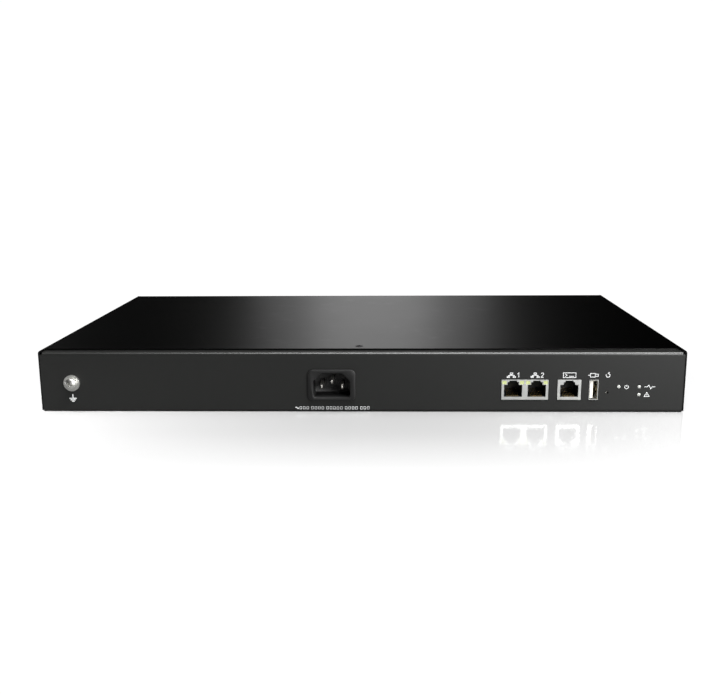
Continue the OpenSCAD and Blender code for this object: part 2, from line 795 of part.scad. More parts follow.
module memory_socket() {
    color("#1d1d1d") {
        difference() {
            block([memory_at[0] - 36, memory_at[1] - 8, board_top], [memory_at[0] + 36, memory_at[1] + 1, board_top + 6.4]);
            block([memory_at[0] - memory_size[0] / 2, memory_at[1] - 3, memory_z],
                [memory_at[0] + memory_size[0] / 2, memory_at[1] + 2, memory_z + memory_size[2]]);
        }
        for (s = [-1, 1]) block([memory_at[0] + s * 35.1 - 0.9, memory_at[1] + 1, board_top],
            [memory_at[0] + s * 35.1 + 0.9, memory_at[1] + 24, board_top + 5.6]);
    }
}

module memory_module() {
    color("#2c6b46") translate([memory_at[0], memory_at[1] - 3, memory_z]) {
        translate([-memory_size[0] / 2, 0, 0]) cube(memory_size);
        for (x = [-24, -8, 8, 24]) translate([x - 5, 10, memory_size[2] - eps]) cube([10, 13, 1.1]);
    }
}

// Flat packages: x, y, width, depth, height
chips = [[112.5, -74, 12, 12, 1], [142, -90, 9, 9, 1], [165, -88, 8, 8, 1], [60, -70, 17, 17, 1.4],
    [60, -30, 14, 14, 1.2], [178, -60, 20, 14, 1.1], [178, -36, 20, 14, 1.1], [178, -8, 14, 14, 1.2],
    [182, 24, 10, 13, 1], [70, 22, 10, 10, 1], [46, -50, 6, 5, 1.6], [188, -84, 6, 5, 1.6]];

module board_chips() {
    color("#1b1b1d") for (c = chips)
        translate([c[0] - c[2] / 2, c[1] - c[3] / 2, board_top]) cube([c[2], c[3], c[4]]);
}

module magnetics() {
    color("#151515") for (x = ethernet_xs)
        translate([ethernet_x + x - 6.5, front_y + 24, board_top]) cube([13, 15.5, 5.6]);
}

// Electrolytic cans: x, y, radius, height
cans = [[78, -66, 4, 11.5], [88, -66, 4, 11.5], [98, -70, 4, 11.5], [152, -64, 4, 11.5], [160, -72, 3.15, 7],
    [34, 40, 5, 12.5], [46, 42, 5, 12.5], [58, 42, 4, 11.5], [158, 12, 3.15, 7], [76, 2, 3.15, 7]];

module board_capacitors() {
    color("#2a2f3a") for (c = cans) translate([c[0], c[1], board_top]) cylinder(r = c[2], h = c[3]);
}

chokes = [[74, -50], [40, 28], [53, 26], [152, -48], [62, 2]];

module board_inductors() {
    color("#55575a") for (p = chokes) translate([p[0] - 5, p[1] - 5, board_top]) {
        translate([0.6, 0.6, 0]) cube([8.8, 8.8, 5]);
        cube([10, 10, 4.2]);
    }
}

module coin_cell_holder() {
    color("#1f1f1f") translate([cell_at[0], cell_at[1], board_top]) difference() {
        cylinder(r = cell_r + 1.6, h = 4.2);
        translate([0, 0, 1]) cylinder(r = cell_r + 0.1, h = 5);
        translate([-4, -cell_r - 4, 1]) cube([8, 8, 5]);
    }
}

module coin_cell() {
    color("#cfd0cc") translate([cell_at[0], cell_at[1], board_top + 1]) {
        cylinder(r = cell_r, h = cell_h - 0.6);
        cylinder(r = cell_r - 0.8, h = cell_h);
    }
}

module board_headers() {
    color("#e6e1d2") {
        translate([power_header_at[0] - header_w / 2, power_header_at[1] - header_w / 2, board_top]) difference() {
            cube([header_w, header_w, 9]);
            translate([1, 1, 1.2]) cube([header_w - 2, header_w - 2, 9]);
        }
        for (p = fan_header_at) translate([p[0] - 3, p[1] - 4, board_top]) {
            cube([6, 8, 2.6]);
            cube([1.2, 8, 6.5]);
        }
    }
}

// ---------- power supply ----------

module psu_board() {
    color("#b08a4a") pcb(psu_x, psu_y, psu_holes);
}

module psu_insulator() {
    color("#d9d4c4") block([psu_x[0] - 3, psu_y[0] + 9.5, sheet], [psu_x[1] + 3, psu_y[1] - 9.5, sheet + 0.4]);
}

psu_mid = [(psu_x[0] + psu_x[1]) / 2, (psu_y[0] + psu_y[1]) / 2];

module psu_transformer() {
    color("#caa53a") translate([psu_mid[0], psu_mid[1] + 15, board_top]) {
        translate([-13, -11, 0]) cube([26, 22, 4]);
        translate([-10.5, -14, 4 - eps]) cube([21, 28, 16]);
        translate([-15, -5, 3]) cube([30, 10, 21]);
    }
}

module psu_capacitors() {
    color("#26303f") {
        translate([psu_mid[0] + 4, psu_y[0] + 50, board_top]) cylinder(r = 11, h = 28);
        for (x = [-46, -34, -22]) translate([psu_x[1] + x, psu_y[1] - 8, board_top]) cylinder(r = 5, h = 20);
        translate([psu_x[0] + 16, psu_y[1] - 9, board_top]) cylinder(r = 4, h = 16);
    }
    color("#c9a83c") {
        translate([psu_x[0] + 9, psu_y[0] + 14, board_top]) cube([18, 8.5, 14]);
        translate([psu_x[0] + 33, psu_y[0] + 21, board_top]) cube([15, 7, 12]);
    }
}

// Bent plates with the power transistors clipped to them
module psu_heatsinks() {
    color("#a9adaf") for (s = [0, 1])
        translate([s ? psu_x[1] - 12 : psu_x[0] + 8, psu_mid[1] - 18, board_top]) {
            cube([2, 48, 24]);
            translate([s ? 0 : -6, 0, 22]) cube([8, 48, 2]);
            for (y = [6, 26]) translate([s ? -4.6 : 2 - eps, y, 2]) cube([4.6 + eps, 10.4, 15]);
        }
}

module psu_chokes() {
    color("#8a5a2a") {
        translate([psu_x[1] - 16, psu_y[0] + 27, board_top + 9.8]) rotate([0, 90, 0])
            rotate_extrude() translate([6.4, 0]) circle(3.3);
        translate([psu_x[0] + 20, psu_y[0] + 34, board_top + 3.5])
            rotate_extrude() translate([6.6, 0]) circle(3.4);
        translate([psu_mid[0] + 4, psu_y[1] - 26, board_top + 3.3])
            rotate_extrude() translate([6, 0]) circle(3.2);
    }
}

module psu_fuse() {
    color("#d8d8d2") translate([psu_in_at[0] - 20, psu_y[0] + 8, board_top + 4]) rotate([0, 90, 0]) {
        translate([0, 0, -10]) cylinder(r = 2.5, h = 20);
        for (z = [-9.8, 5.4]) translate([0, 0, z]) cylinder(r = 2.9, h = 4.4);
        for (z = [-8.6, 6.6]) translate([2, -1.6, z]) cube([2, 3.2, 2]);
    }
}

module psu_terminals() {
    color("#e6e1d2") {
        translate([psu_in_at[0] - 9, psu_in_at[1] - 4.5, board_top]) difference() {
            cube([14, 9, 9.5]);
            translate([1, 1, 3]) cube([12, 9, 9]);
        }
        translate([psu_out_at[0] - 5, psu_out_at[1] - 8, board_top]) difference() {
            cube([9, 16, 9.5]);
            translate([1, 1, 3]) cube([9, 14, 9]);
        }
    }
}

// ---------- fans ----------

// A fan drawn with its axis along Z: the struts and the motor base are at z = 0
module fan_frame() {
    color("#141414") {
        difference() {
            translate([-fan_size / 2, -fan_size / 2, 0]) cube([fan_size, fan_size, fan_depth]);
            translate([0, 0, -1]) cylinder(r = fan_bore_r, h = fan_depth + 2);
            for (x = [-1, 1], y = [-1, 1]) translate([x * fan_hole, y * fan_hole, -1])
                cylinder(r = m3_r + 0.25, h = fan_depth + 2);
            for (a = [0 : 90 : 270]) rotate(a) translate([fan_size / 2 - 2.4, -9, 3.5])
                cube([3, 18, fan_depth - 7]);
        }
        difference() {
            union() {
                cylinder(r = hub_r, h = 2.4);
                cylinder(r = 3.4, h = 9);
                for (a = [30 : 90 : 300]) rotate(a) translate([0, -1.2, 0]) cube([fan_bore_r + 0.3, 2.4, 2.2]);
            }
            translate([0, 0, 1]) cylinder(r = 1.5 + fit_gap, h = 12);
        }
    }
}

// The rotor is a cup over the motor, with its shaft in the frame's bearing
module fan_rotor() {
    color("#181818") {
        difference() {
            cylinder(r = hub_r, h = fan_depth - 4.4);
            translate([0, 0, -1]) cylinder(r = hub_r - 1.4, h = fan_depth - 5);
        }
        translate([0, 0, -1.9]) cylinder(r = 1.5, h = fan_depth - 4);
        for (i = [0 : fan_blades - 1]) rotate(i * 360 / fan_blades) intersection() {
            translate([hub_r - 0.4, -12, 0]) cube([fan_bore_r - 0.7 - hub_r + 0.4, 24, fan_depth - 5]);
            translate([0, 0, (fan_depth - 5) / 2]) rotate([38, 0, 0])
                translate([0, -0.6, -12]) cube([fan_bore_r, 1.2, 24]);
            cylinder(r = fan_bore_r - 0.7, h = fan_depth);
        }
    }
}

module place_fan(i) {
    translate([fan_outer_x, fan_ys[i], fan_z]) rotate([0, 90, 0]) children();
}

module place_rotor(i) {
    place_fan(i) translate([0, 0, 3.2]) children();
}

module fan_front_frame() {
    place_fan(0) fan_frame();
}

module fan_front_rotor() {
    place_rotor(0) fan_rotor();
}

module fan_rear_frame() {
    place_fan(1) fan_frame();
}

module fan_rear_rotor() {
    place_rotor(1) fan_rotor();
}

module fan_screws() {
    color("#c9c9c6") for (i = [0, 1], x = [-1, 1], y = [-1, 1])
        place_fan(i) translate([x * fan_hole, y * fan_hole, fan_depth + fit_gap]) m3_screw(fan_depth + 0.8);
}

lead_r = 0.75;
fan_inner_x = fan_outer_x + fan_depth;

lead_z = 2.4;
lead_lane = 2;
lead_back = [-172, 74, lead_z];
lead_turn = [-10, 74, lead_z];
lead_bend = 6;

// Each fan's red and black lead runs along the floor behind the power supply to the main board
module fan_leads() {
    color("#8c1f1a") for (i = [0, 1], k = [0, 1]) {
        lane = lead_lane * (2 * i + k);
        head = fan_header_at[1 - i];
        px = head[0] + 1;
        py = head[1] - 1.1 + 2.2 * k;
        x1 = lead_turn[0] + lead_bend + lane;
        r = 8 - x1;
        tube(concat(
            [[fan_inner_x, fan_ys[i] + 8 + lead_lane * k, lead_z]],
            arc([-184 - 2 * lead_lane * i, fan_ys[i] + 14, lead_z], lead_bend - lead_lane * k, along, across, -90, 0),
            arc(lead_back, lead_bend + lane, along, across, 180, 90),
            arc(lead_turn, lead_bend + lane, along, across, 90, 0),
            [[x1, py + 20, lead_z], [x1, py + r, 3], [8 - 0.7 * r, py + 0.3 * r, 5], [8, py, 9], [12, py, 15],
                [16, py, 21]],
            arc([px - 4, py, 19.5], 4, along, upward, 90, 0),
            [[px, py, board_top + 8.2]]), lead_r);
    }
}

module board_plugs() {
    color("#e6e1d2") {
        block([power_header_at[0] - 3.9, power_header_at[1] - 3.9, board_top + 1.3],
            [power_header_at[0] + 3.9, power_header_at[1] + 3.9, board_top + 14]);
        for (p = fan_header_at) block([p[0] - 1.7, p[1] - 3.8, board_top + 2.7], [p[0] + 3, p[1] + 3.8, board_top + 8.2]);
        block([psu_in_at[0] - 7.9, psu_in_at[1] - 3.4, board_top + 3.1], [psu_in_at[0] + 3.9, psu_in_at[1] + 5.6, board_top + 12]);
        block([psu_out_at[0] - 3.9, psu_out_at[1] - 6.9, board_top + 3.1], [psu_out_at[0] + 5, psu_out_at[1] + 6.9, board_top + 12]);
    }
}

// Four wires rise from the supply's plug, sag together across the middle and drop into the board's plug
module dc_wires() {
    color("#b5251d") for (i = [0, 1], k = [0, 1]) {
        x = power_header_at[0] - 1.8 + 3.6 * i;
        y = power_header_at[1] - 1.8 + 3.6 * k;
        x0 = psu_out_at[0] + 2;
        y0 = psu_out_at[1] - 4.5 + 3 * (2 * i + k);
        tube(concat(
            [[x0, y0, board_top + 12]],
            arc([x0 + 4 + 3 * i, y0, 24], 4 + 3 * i, along, upward, 180, 90),
            [for (p = [[-62, 42, 19], [-40, 40, 12], [-18, 36, 13], [2, 29, 25]]) p + 2.6 * [0, k, i]],
            arc([power_header_at[0] - 5.8, y, 28], 4 + 3.6 * i, along, upward, 90, 0),
            [[x, y, board_top + 14]]), 1);
    }
}

base_pan();
top_cover();
cover_front_screw();
cover_rear_screws();
press_nuts();
standoffs();
board_screws();
ground_screw();
ground_spring_washer();
ground_flat_washer();
earth_stud();
earth_nut();
inlet_body();
inlet_pins();
inlet_boots();
mains_wires();
earth_wire();
ethernet_shield();
ethernet_housing();
ethernet_contacts();
ethernet_leds();
console_shield();
console_housing();
console_contacts();
usb_shell();
usb_tongue();
usb_contacts();
reset_switch();
reset_button();
indicator_pipes();
indicator_holders();
main_board();
processor();
processor_heatsink();
heatsink_pins();
memory_socket();
memory_module();
board_chips();
magnetics();
board_capacitors();
board_inductors();
coin_cell_holder();
coin_cell();
board_headers();
psu_board();
psu_insulator();
psu_transformer();
psu_capacitors();
psu_heatsinks();
psu_chokes();
psu_fuse();
psu_terminals();
fan_front_frame();
fan_front_rotor();
fan_rear_frame();
fan_rear_rotor();
fan_screws();
fan_leads();
board_plugs();
dc_wires();
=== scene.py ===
"""The looks of a one-rack-unit network security appliance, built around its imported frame.

Each sub-assembly is a class that dresses its own frame nodes, replaces the plain ones with detailed
pieces, and adds what is too fine for the frame. Lengths are in millimetres until a piece is built.
"""

import json
import logging
import math
import random
from dataclasses import dataclass, field
from enum import Enum
from typing import Any, Iterable, Sequence

import bmesh
import bpy
import numpy as np
from mathutils import Matrix, Vector

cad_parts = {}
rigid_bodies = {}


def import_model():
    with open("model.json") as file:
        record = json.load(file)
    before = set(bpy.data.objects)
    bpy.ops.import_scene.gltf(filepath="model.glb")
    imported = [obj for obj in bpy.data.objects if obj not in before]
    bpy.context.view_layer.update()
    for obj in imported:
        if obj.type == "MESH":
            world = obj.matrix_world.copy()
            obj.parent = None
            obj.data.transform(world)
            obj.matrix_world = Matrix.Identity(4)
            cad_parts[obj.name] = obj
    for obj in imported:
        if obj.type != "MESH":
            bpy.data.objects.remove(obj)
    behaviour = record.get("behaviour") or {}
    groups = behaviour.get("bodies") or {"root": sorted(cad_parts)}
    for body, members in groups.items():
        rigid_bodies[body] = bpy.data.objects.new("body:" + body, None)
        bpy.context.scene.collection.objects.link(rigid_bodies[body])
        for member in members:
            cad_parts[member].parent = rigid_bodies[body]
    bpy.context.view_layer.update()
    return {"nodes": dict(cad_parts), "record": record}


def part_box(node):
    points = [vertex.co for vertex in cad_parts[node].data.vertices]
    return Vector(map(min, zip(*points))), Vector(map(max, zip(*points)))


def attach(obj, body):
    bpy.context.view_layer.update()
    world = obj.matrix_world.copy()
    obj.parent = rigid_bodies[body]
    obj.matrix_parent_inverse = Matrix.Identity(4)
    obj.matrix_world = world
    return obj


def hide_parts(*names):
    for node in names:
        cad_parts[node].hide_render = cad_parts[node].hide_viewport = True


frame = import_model()

MM = 0.001
X, Y, Z = Vector((1, 0, 0)), Vector((0, 1, 0)), Vector((0, 0, 1))
log = logging.getLogger("appliance")

Point = Sequence[float]
Colour = tuple[float, float, float]


class Body(Enum):
    """The bodies of the frame that a piece can ride on."""

    CHASSIS = "chassis"
    COVER = "top_cover"
    FRONT_ROTOR = "fan_front_rotor"
    REAR_ROTOR = "fan_rear_rotor"


# ---------------------------------------------------------------- places in the frame


@dataclass(frozen=True)
class Box:
    """A box in millimetres, between two corners."""

    low: Vector
    high: Vector

    @property
    def centre(self) -> Vector:
        """The middle of the box."""
        return (self.low + self.high) / 2

    @property
    def size(self) -> Vector:
        """The box's three sides."""
        return self.high - self.low

    def meets(self, low: Point, high: Point) -> bool:
        """Whether the box reaches into another one, seen from above."""
        return all(self.low[i] < high[i] and self.high[i] > low[i] for i in (0, 1))


def box(node: str) -> Box:
    """The box around a frame node, in millimetres."""
    low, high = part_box(node)
    return Box(low / MM, high / MM)


def solids(node: str) -> list[Box]:
    """The boxes around a frame node's separate solids, in millimetres.

    Args:
        node: The node's name.

    Returns:
        One box for each solid, sorted by X and then by Y.
    """
    mesh = frame["nodes"][node].data
    corners = np.array([v.co[:] for v in mesh.vertices]).round(6)
    places, index = np.unique(corners, axis=0, return_inverse=True)
    index = index.reshape(-1)
    owner = list(range(len(places)))

    def root(i: int) -> int:
        """The first corner of the solid that a corner belongs to."""
        while owner[i] != i:
            owner[i] = owner[owner[i]]
            i = owner[i]
        return i

    for face in mesh.polygons:
        first = root(index[face.vertices[0]])
        for v in face.vertices[1:]:
            owner[root(index[v])] = first
    groups: dict[int, list[int]] = {}
    for i in range(len(places)):
        groups.setdefault(root(i), []).append(i)
    found = [Box(Vector(places[g].min(0)) / MM, Vector(places[g].max(0)) / MM) for g in groups.values()]
    return sorted(found, key=lambda b: (round(b.centre.x, 1), round(b.centre.y, 1), b.centre.z))


def facing(at: Point, axis: Point, spin: float = 0.0) -> Matrix:
    """A placement whose own Z points along an axis.

    Args:
        at: Where the placement's origin goes.
        axis: Which way its Z points.
        spin: How far it is turned about its Z, in degrees.

    Returns:
        The placement as a matrix.
    """
    turn = Vector(axis).to_track_quat("Z", "Y").to_matrix().to_4x4()
    return Matrix.Translation(Vector(at)) @ turn @ Matrix.Rotation(math.radians(spin), 4, "Z")


def arc(
    centre: Point, radius: float, u: Vector, v: Vector, start: float, end: float, steps: int = 3
) -> list[Vector]:
    """Points on an arc about a centre, in the plane of u and v.

    Args:
        centre: The middle of the arc.
        radius: Its radius.
        u: The direction of its angle 0.
        v: The direction of its angle 90.
        start: Its first angle, in degrees.
        end: Its last angle, in degrees.
        steps: How many pieces it is cut into.

    Returns:
        The points.
    """
    angles = [math.radians(start + (end - start) * i / steps) for i in range(steps + 1)]
    return [Vector(centre) + radius * (math.cos(a) * u + math.sin(a) * v) for a in angles]


def turns(count: int) -> list[float]:
    """Evenly spaced angles round a whole turn, in radians."""
    return [2 * math.pi * k / count for k in range(count)]


def rectangle(x: float, y: float, w: float, d: float) -> list[tuple[float, float]]:
    """The corners of a rectangle about a middle, from its half width and half depth."""
    return [(x - w, y - d), (x + w, y - d), (x + w, y + d), (x - w, y + d)]


def squircle(
    x: float, y: float, w: float, d: float, powers: tuple[float, float], steps: int
) -> list[tuple[float, float]]:
    """A rounded rectangle about a middle, whose powers say how square it is along each axis."""
    points = []
    for a in turns(steps):
        across = math.copysign(abs(math.cos(a)) ** powers[0], math.cos(a))
        along = math.copysign(abs(math.sin(a)) ** powers[1], math.sin(a))
        points.append((x + w * across, y + d * along))
    return points


def curve(points: Sequence[Point], steps: int = 5) -> list[Vector]:
    """A smooth line through points, straight at both of its ends.

    Args:
        points: The points that it goes through.
        steps: How many pieces each stretch between two points is cut into.

    Returns:
        The points of the smooth line.
    """
    p = [Vector(q) for q in points]
    last = len(p) - 1
    heading = [(p[min(i + 1, last)] - p[max(i - 1, 0)]).normalized() for i in range(last + 1)]
    line = []
    for i in range(last):
        reach = (p[i + 1] - p[i]).length
        for k in range(steps):
            t = k / steps
            line.append(
                p[i] * (2 * t**3 - 3 * t**2 + 1)
                + p[i + 1] * (3 * t**2 - 2 * t**3)
                + heading[i] * reach * (t**3 - 2 * t**2 + t)
                + heading[i + 1] * reach * (t**3 - t**2)
            )
    return [*line, p[last]]


# ---------------------------------------------------------------- shader maths


class Value:
    """A number that varies over a surface, as a socket that Python's operators work on."""

    def __init__(self, recipe: "Recipe", socket: bpy.types.NodeSocket) -> None:
        """Wraps a socket of a recipe."""
        self.recipe = recipe
        self.socket = socket

    def maths(self, operation: str, *values: "Value | float") -> "Value":
        """The outcome of one Math node on some values."""
        return self.recipe.value("ShaderNodeMath", {"operation": operation}, dict(enumerate(values)))

    def __add__(self, other: "Value | float") -> "Value":
        """The sum."""
        return self.maths("ADD", self, other)

    def __radd__(self, other: float) -> "Value":
        """The sum, from the right."""
        return self.maths("ADD", other, self)

    def __sub__(self, other: "Value | float") -> "Value":
        """The difference."""
        return self.maths("SUBTRACT", self, other)

    def __rsub__(self, other: float) -> "Value":
        """The difference, from the right."""
        return self.maths("SUBTRACT", other, self)

    def __mul__(self, other: "Value | float") -> "Value":
        """The product."""
        return self.maths("MULTIPLY", self, other)

    def __rmul__(self, other: float) -> "Value":
        """The product, from the right."""
        return self.maths("MULTIPLY", other, self)

    def __pow__(self, other: float) -> "Value":
        """The power."""
        return self.maths("POWER", self, other)

    def most(self, other: "Value") -> "Value":
        """The larger of two values."""
        return self.maths("MAXIMUM", self, other)

    def sine(self) -> "Value":
        """The sine."""
        return self.maths("SINE", self)

    def between(self, low: float, high: float) -> "Value":
        """A smooth step from 0 at low to 1 at high."""
        settings = {"interpolation_type": "SMOOTHSTEP"}
        inputs = {"Value": self, "From Min": low, "From Max": high}
        return self.recipe.value("ShaderNodeMapRange", settings, inputs)


class Recipe:
    """A material in the making: its node tree and the nodes that most finishes share."""

    def __init__(self, name: str) -> None:
        """Starts a material with an empty tree.

        Args:
            name: The material's name.
        """
        self.material = bpy.data.materials.new(name)
        self.material.use_nodes = True
        self.tree = self.material.node_tree
        self.tree.nodes.clear()
        self.place = self.node("ShaderNodeTexCoord").outputs["Object"]

    def node(
        self, kind: str, settings: dict[str, Any] | None = None, inputs: dict[int | str, Any] | None = None
    ) -> bpy.types.Node:
        """Adds a node.

        Args:
            kind: The node's type.
            settings: Its own settings, which are set first; stops are a ramp's places and colours.
            inputs: Values or links for its sockets, by name or by number.

        Returns:
            The node.
        """
        made = self.tree.nodes.new(kind)
        for key, setting in (settings or {}).items():
            if key == "stops":
                ramp = made.color_ramp.elements
                while len(ramp) < len(setting):
                    ramp.new(0.5)
                for element, (spot, colour) in zip(ramp, setting):
                    element.position, element.color = spot, (*colour, 1)
            else:
                setattr(made, key, setting)
        for key, value in (inputs or {}).items():
            socket = made.inputs[key]
            if isinstance(value, Value):
                self.tree.links.new(value.socket, socket)
            elif isinstance(value, bpy.types.NodeSocket):
                self.tree.links.new(value, socket)
            elif isinstance(value, tuple) and len(value) == 3 and socket.type == "RGBA":
                socket.default_value = (*value, 1)
            else:
                socket.default_value = value
        return made

    def value(
        self, kind: str, settings: dict[str, Any], inputs: dict[int | str, Any], output: int | str = 0
    ) -> Value:
        """Adds a node and wraps one of its outputs as a value.

        Args:
            kind: The node's type.
            settings: Its own settings.
            inputs: Values or links for its sockets.
            output: The output that is wrapped.

        Returns:
            The value.
        """
        return Value(self, self.node(kind, settings, inputs).outputs[output])

    def scaled(self, stretch: Point) -> bpy.types.NodeSocket:
        """The place on the object, stretched along its axes."""
        inputs = {0: self.place, 1: stretch}
        return self.node("ShaderNodeVectorMath", {"operation": "MULTIPLY"}, inputs).outputs[0]

    def noise(
        self, grain: float, detail: float = 2.0, stretch: Point = (1, 1, 1), rough: float = 0.5
    ) -> Value:
        """Noise from 0 to 1.

        Args:
            grain: The size of its features, in millimetres.
            detail: How many finer layers it has.
            stretch: How many times finer it is along each axis.
            rough: How strong the finer layers are.

        Returns:
            The noise.
        """
        scale = 1 / (grain * MM)
        inputs = {"Vector": self.scaled(stretch), "Scale": scale, "Detail": detail, "Roughness": rough}
        return self.value("ShaderNodeTexNoise", {}, inputs, "Fac")

    def cells(self, grain: float) -> Value:
        """The distance to the nearest cell centre, for cells of a size in millimetres."""
        inputs = {"Vector": self.place, "Scale": 1 / (grain * MM)}
        return self.value("ShaderNodeTexVoronoi", {"feature": "F1"}, inputs, "Distance")

    def coordinate(self, axis: int) -> Value:
        """The place along one axis, in millimetres."""
        split = self.node("ShaderNodeSeparateXYZ", {}, {0: self.place})
        return Value(self, split.outputs[axis]) * (1 / MM)

    def mix(self, share: Value | float, a: Any, b: Any) -> bpy.types.NodeSocket:
        """A colour between a and b."""
        return self.node("ShaderNodeMix", {"data_type": "RGBA"}, {0: share, 6: a, 7: b}).outputs[2]

    def bump(self, height: Value, depth: float, strength: float = 1.0) -> bpy.types.NodeSocket:
        """A bumped normal from a height of 0 to 1.

        Args:
            height: The height.
            depth: How deep the relief is, in millimetres.
            strength: How strongly it shows.

        Returns:
            The normal.
        """
        inputs = {"Height": height, "Distance": depth * MM, "Strength": strength}
        return self.node("ShaderNodeBump", {}, inputs).outputs[0]

    def finish(self, **inputs: Any) -> bpy.types.Material:
        """Ends the recipe in one surface shader.

        Args:
            **inputs: The shader's sockets by name, with underscores for spaces.

        Returns:
            The material.
        """
        named = {key.replace("_", " "): value for key, value in inputs.items()}
        surface = self.node("ShaderNodeBsdfPrincipled", {}, named)
        self.node("ShaderNodeOutputMaterial", {}, {"Surface": surface.outputs[0]})
        return self.material


# ---------------------------------------------------------------- finishes


def shade(colour: Colour, share: float) -> Colour:
    """A colour made lighter or darker by a factor."""
    return tuple(min(1.0, c * share) for c in colour)


@dataclass(frozen=True)
class Finish:
    """What every finish has: the record's slot that it stands for and its main colour."""

    slot: str
    colour: Colour

    def material(self, name: str) -> bpy.types.Material:
        """Makes the finish's material."""
        raise NotImplementedError


@dataclass(frozen=True)
class PowderCoat(Finish):
    """Baked powder coat with an orange-peel relief and a trace of handling."""

    roughness: float = 0.4
    grain: float = 0.55
    relief: float = 0.012
    shine: float = 0.5

    def material(self, name: str) -> bpy.types.Material:
        """Makes the coat: fine peel, faint cloudiness and slightly shinier rubbed patches."""
        mix = Recipe(name)
        peel = mix.noise(self.grain, 3)
        clouds = mix.noise(60, 3)
        rubbed = mix.noise(18, 4, rough=0.6).between(0.55, 0.8)
        colour = mix.mix(clouds, shade(self.colour, 0.92), shade(self.colour, 1.1))
        specks = mix.cells(0.9).between(0.1, 0.0)
        return mix.finish(
            Base_Color=mix.mix(specks * 0.25, colour, shade(self.colour, 1.6)),
            Roughness=self.roughness + clouds * 0.03 - rubbed * 0.03,
            Specular_IOR_Level=self.shine,
            Normal=mix.bump(peel, self.relief, 0.6),
        )


@dataclass(frozen=True)
class Metal(Finish):
    """Plated or bare metal with a grain, a tarnish and fine scratches."""

    roughness: float = 0.3
    grain: tuple[float, float, float] = (1, 1, 1)
    tarnish: Colour = (0.5, 0.45, 0.35)
    aged: float = 0.15
    relief: float = 0.006

    def material(self, name: str) -> bpy.types.Material:
        """Makes the metal."""
        mix = Recipe(name)
        rolled = mix.noise(0.9, 4, self.grain, 0.6)
        patches = mix.noise(5, 3).between(0.45, 0.75)
        scratches = mix.noise(2.2, 2, (1, 9, 9)).between(0.62, 0.7)
        colour = mix.mix(rolled, shade(self.colour, 0.9), shade(self.colour, 1.06))
        return mix.finish(
            Base_Color=mix.mix(patches * self.aged, colour, self.tarnish),
            Metallic=1.0,
            Roughness=self.roughness + rolled * 0.1 + patches * 0.08 + scratches * 0.06,
            Normal=mix.bump(rolled, self.relief, 0.5),
        )


@dataclass(frozen=True)
class Moulded(Finish):
    """Moulded plastic, epoxy or ferrite, with a spark-eroded grain and slight colour drift."""

    roughness: float = 0.5
    grain: float = 0.35
    relief: float = 0.01
    clear: float = 0.0
    drift: float = 0.12

    def material(self, name: str) -> bpy.types.Material:
        """Makes the plastic."""
        mix = Recipe(name)
        texture = mix.noise(self.grain, 3)
        flow = mix.noise(7, 3)
        dust = mix.noise(2.5, 5, rough=0.7).between(0.6, 0.85)
        colour = mix.mix(flow, shade(self.colour, 1 - self.drift), shade(self.colour, 1 + self.drift))
        return mix.finish(
            Base_Color=mix.mix(dust * 0.04, colour, (0.5, 0.5, 0.48)),
            Roughness=self.roughness + texture * 0.08 + dust * 0.06,
            Transmission_Weight=self.clear,
            Normal=mix.bump(texture, self.relief, 0.6),
        )


@dataclass(frozen=True)
class Laminate(Finish):
    """A circuit board: glass weave under a lacquer, with a bare edge colour in its cloudiness."""

    weave: float = 0.6
    roughness: float = 0.28

    def material(self, name: str) -> bpy.types.Material:
        """Makes the board's lacquer over its woven glass."""
        mix = Recipe(name)
        threads = 2 * math.pi / self.weave
        warp = (mix.coordinate(0) * threads).sine()
        weft = (mix.coordinate(1) * threads).sine()
        weave = warp * weft * 0.5 + 0.5
        clouds = mix.noise(12, 3)
        colour = mix.mix(weave * 0.5, self.colour, shade(self.colour, 1.25))
        return mix.finish(
            Base_Color=mix.mix(clouds, shade(self.colour, 0.85), colour),
            Roughness=self.roughness + clouds * 0.1,
            Coat_Weight=0.4,
            Coat_Roughness=0.2,
            Normal=mix.bump(weave, 0.01, 0.4),
        )


@dataclass(frozen=True)
class Sleeved(Finish):
    """Wire insulation, tape or sleeving: soft plastic with fine marks along its length."""

    roughness: float = 0.42

    def material(self, name: str) -> bpy.types.Material:
        """Makes the insulation."""
        mix = Recipe(name)
        ripple = mix.noise(1.4, 3)
        marks = mix.noise(4, 3).between(0.5, 0.8)
        return mix.finish(
            Base_Color=mix.mix(ripple, shade(self.colour, 0.88), shade(self.colour, 1.12)),
            Roughness=self.roughness + marks * 0.12,
            Coat_Weight=0.15,
            Normal=mix.bump(ripple, 0.02, 0.5),
        )


@dataclass(frozen=True)
class Ink(Finish):
    """Screen-printed ink: nearly matt, with a thin and uneven film."""

    def material(self, name: str) -> bpy.types.Material:
        """Makes the ink."""
        mix = Recipe(name)
        film = mix.noise(0.25, 3)
        return mix.finish(
            Base_Color=mix.mix(film, shade(self.colour, 0.86), self.colour),
            Roughness=0.55 + film * 0.1,
            Normal=mix.bump(film, 0.006, 0.5),
        )


@dataclass(frozen=True)
class Lens(Finish):
    """Clear or tinted resin that lets light through."""

    roughness: float = 0.12
    clear: float = 0.6

    def material(self, name: str) -> bpy.types.Material:
        """Makes the resin, slightly hazy inside."""
        mix = Recipe(name)
        haze = mix.noise(0.8, 3)
        return mix.finish(
            Base_Color=mix.mix(haze, shade(self.colour, 0.85), self.colour),
            Roughness=self.roughness + haze * 0.12,
            Transmission_Weight=self.clear,
            IOR=1.49,
        )


GREY: Colour = (0.5, 0.5, 0.5)

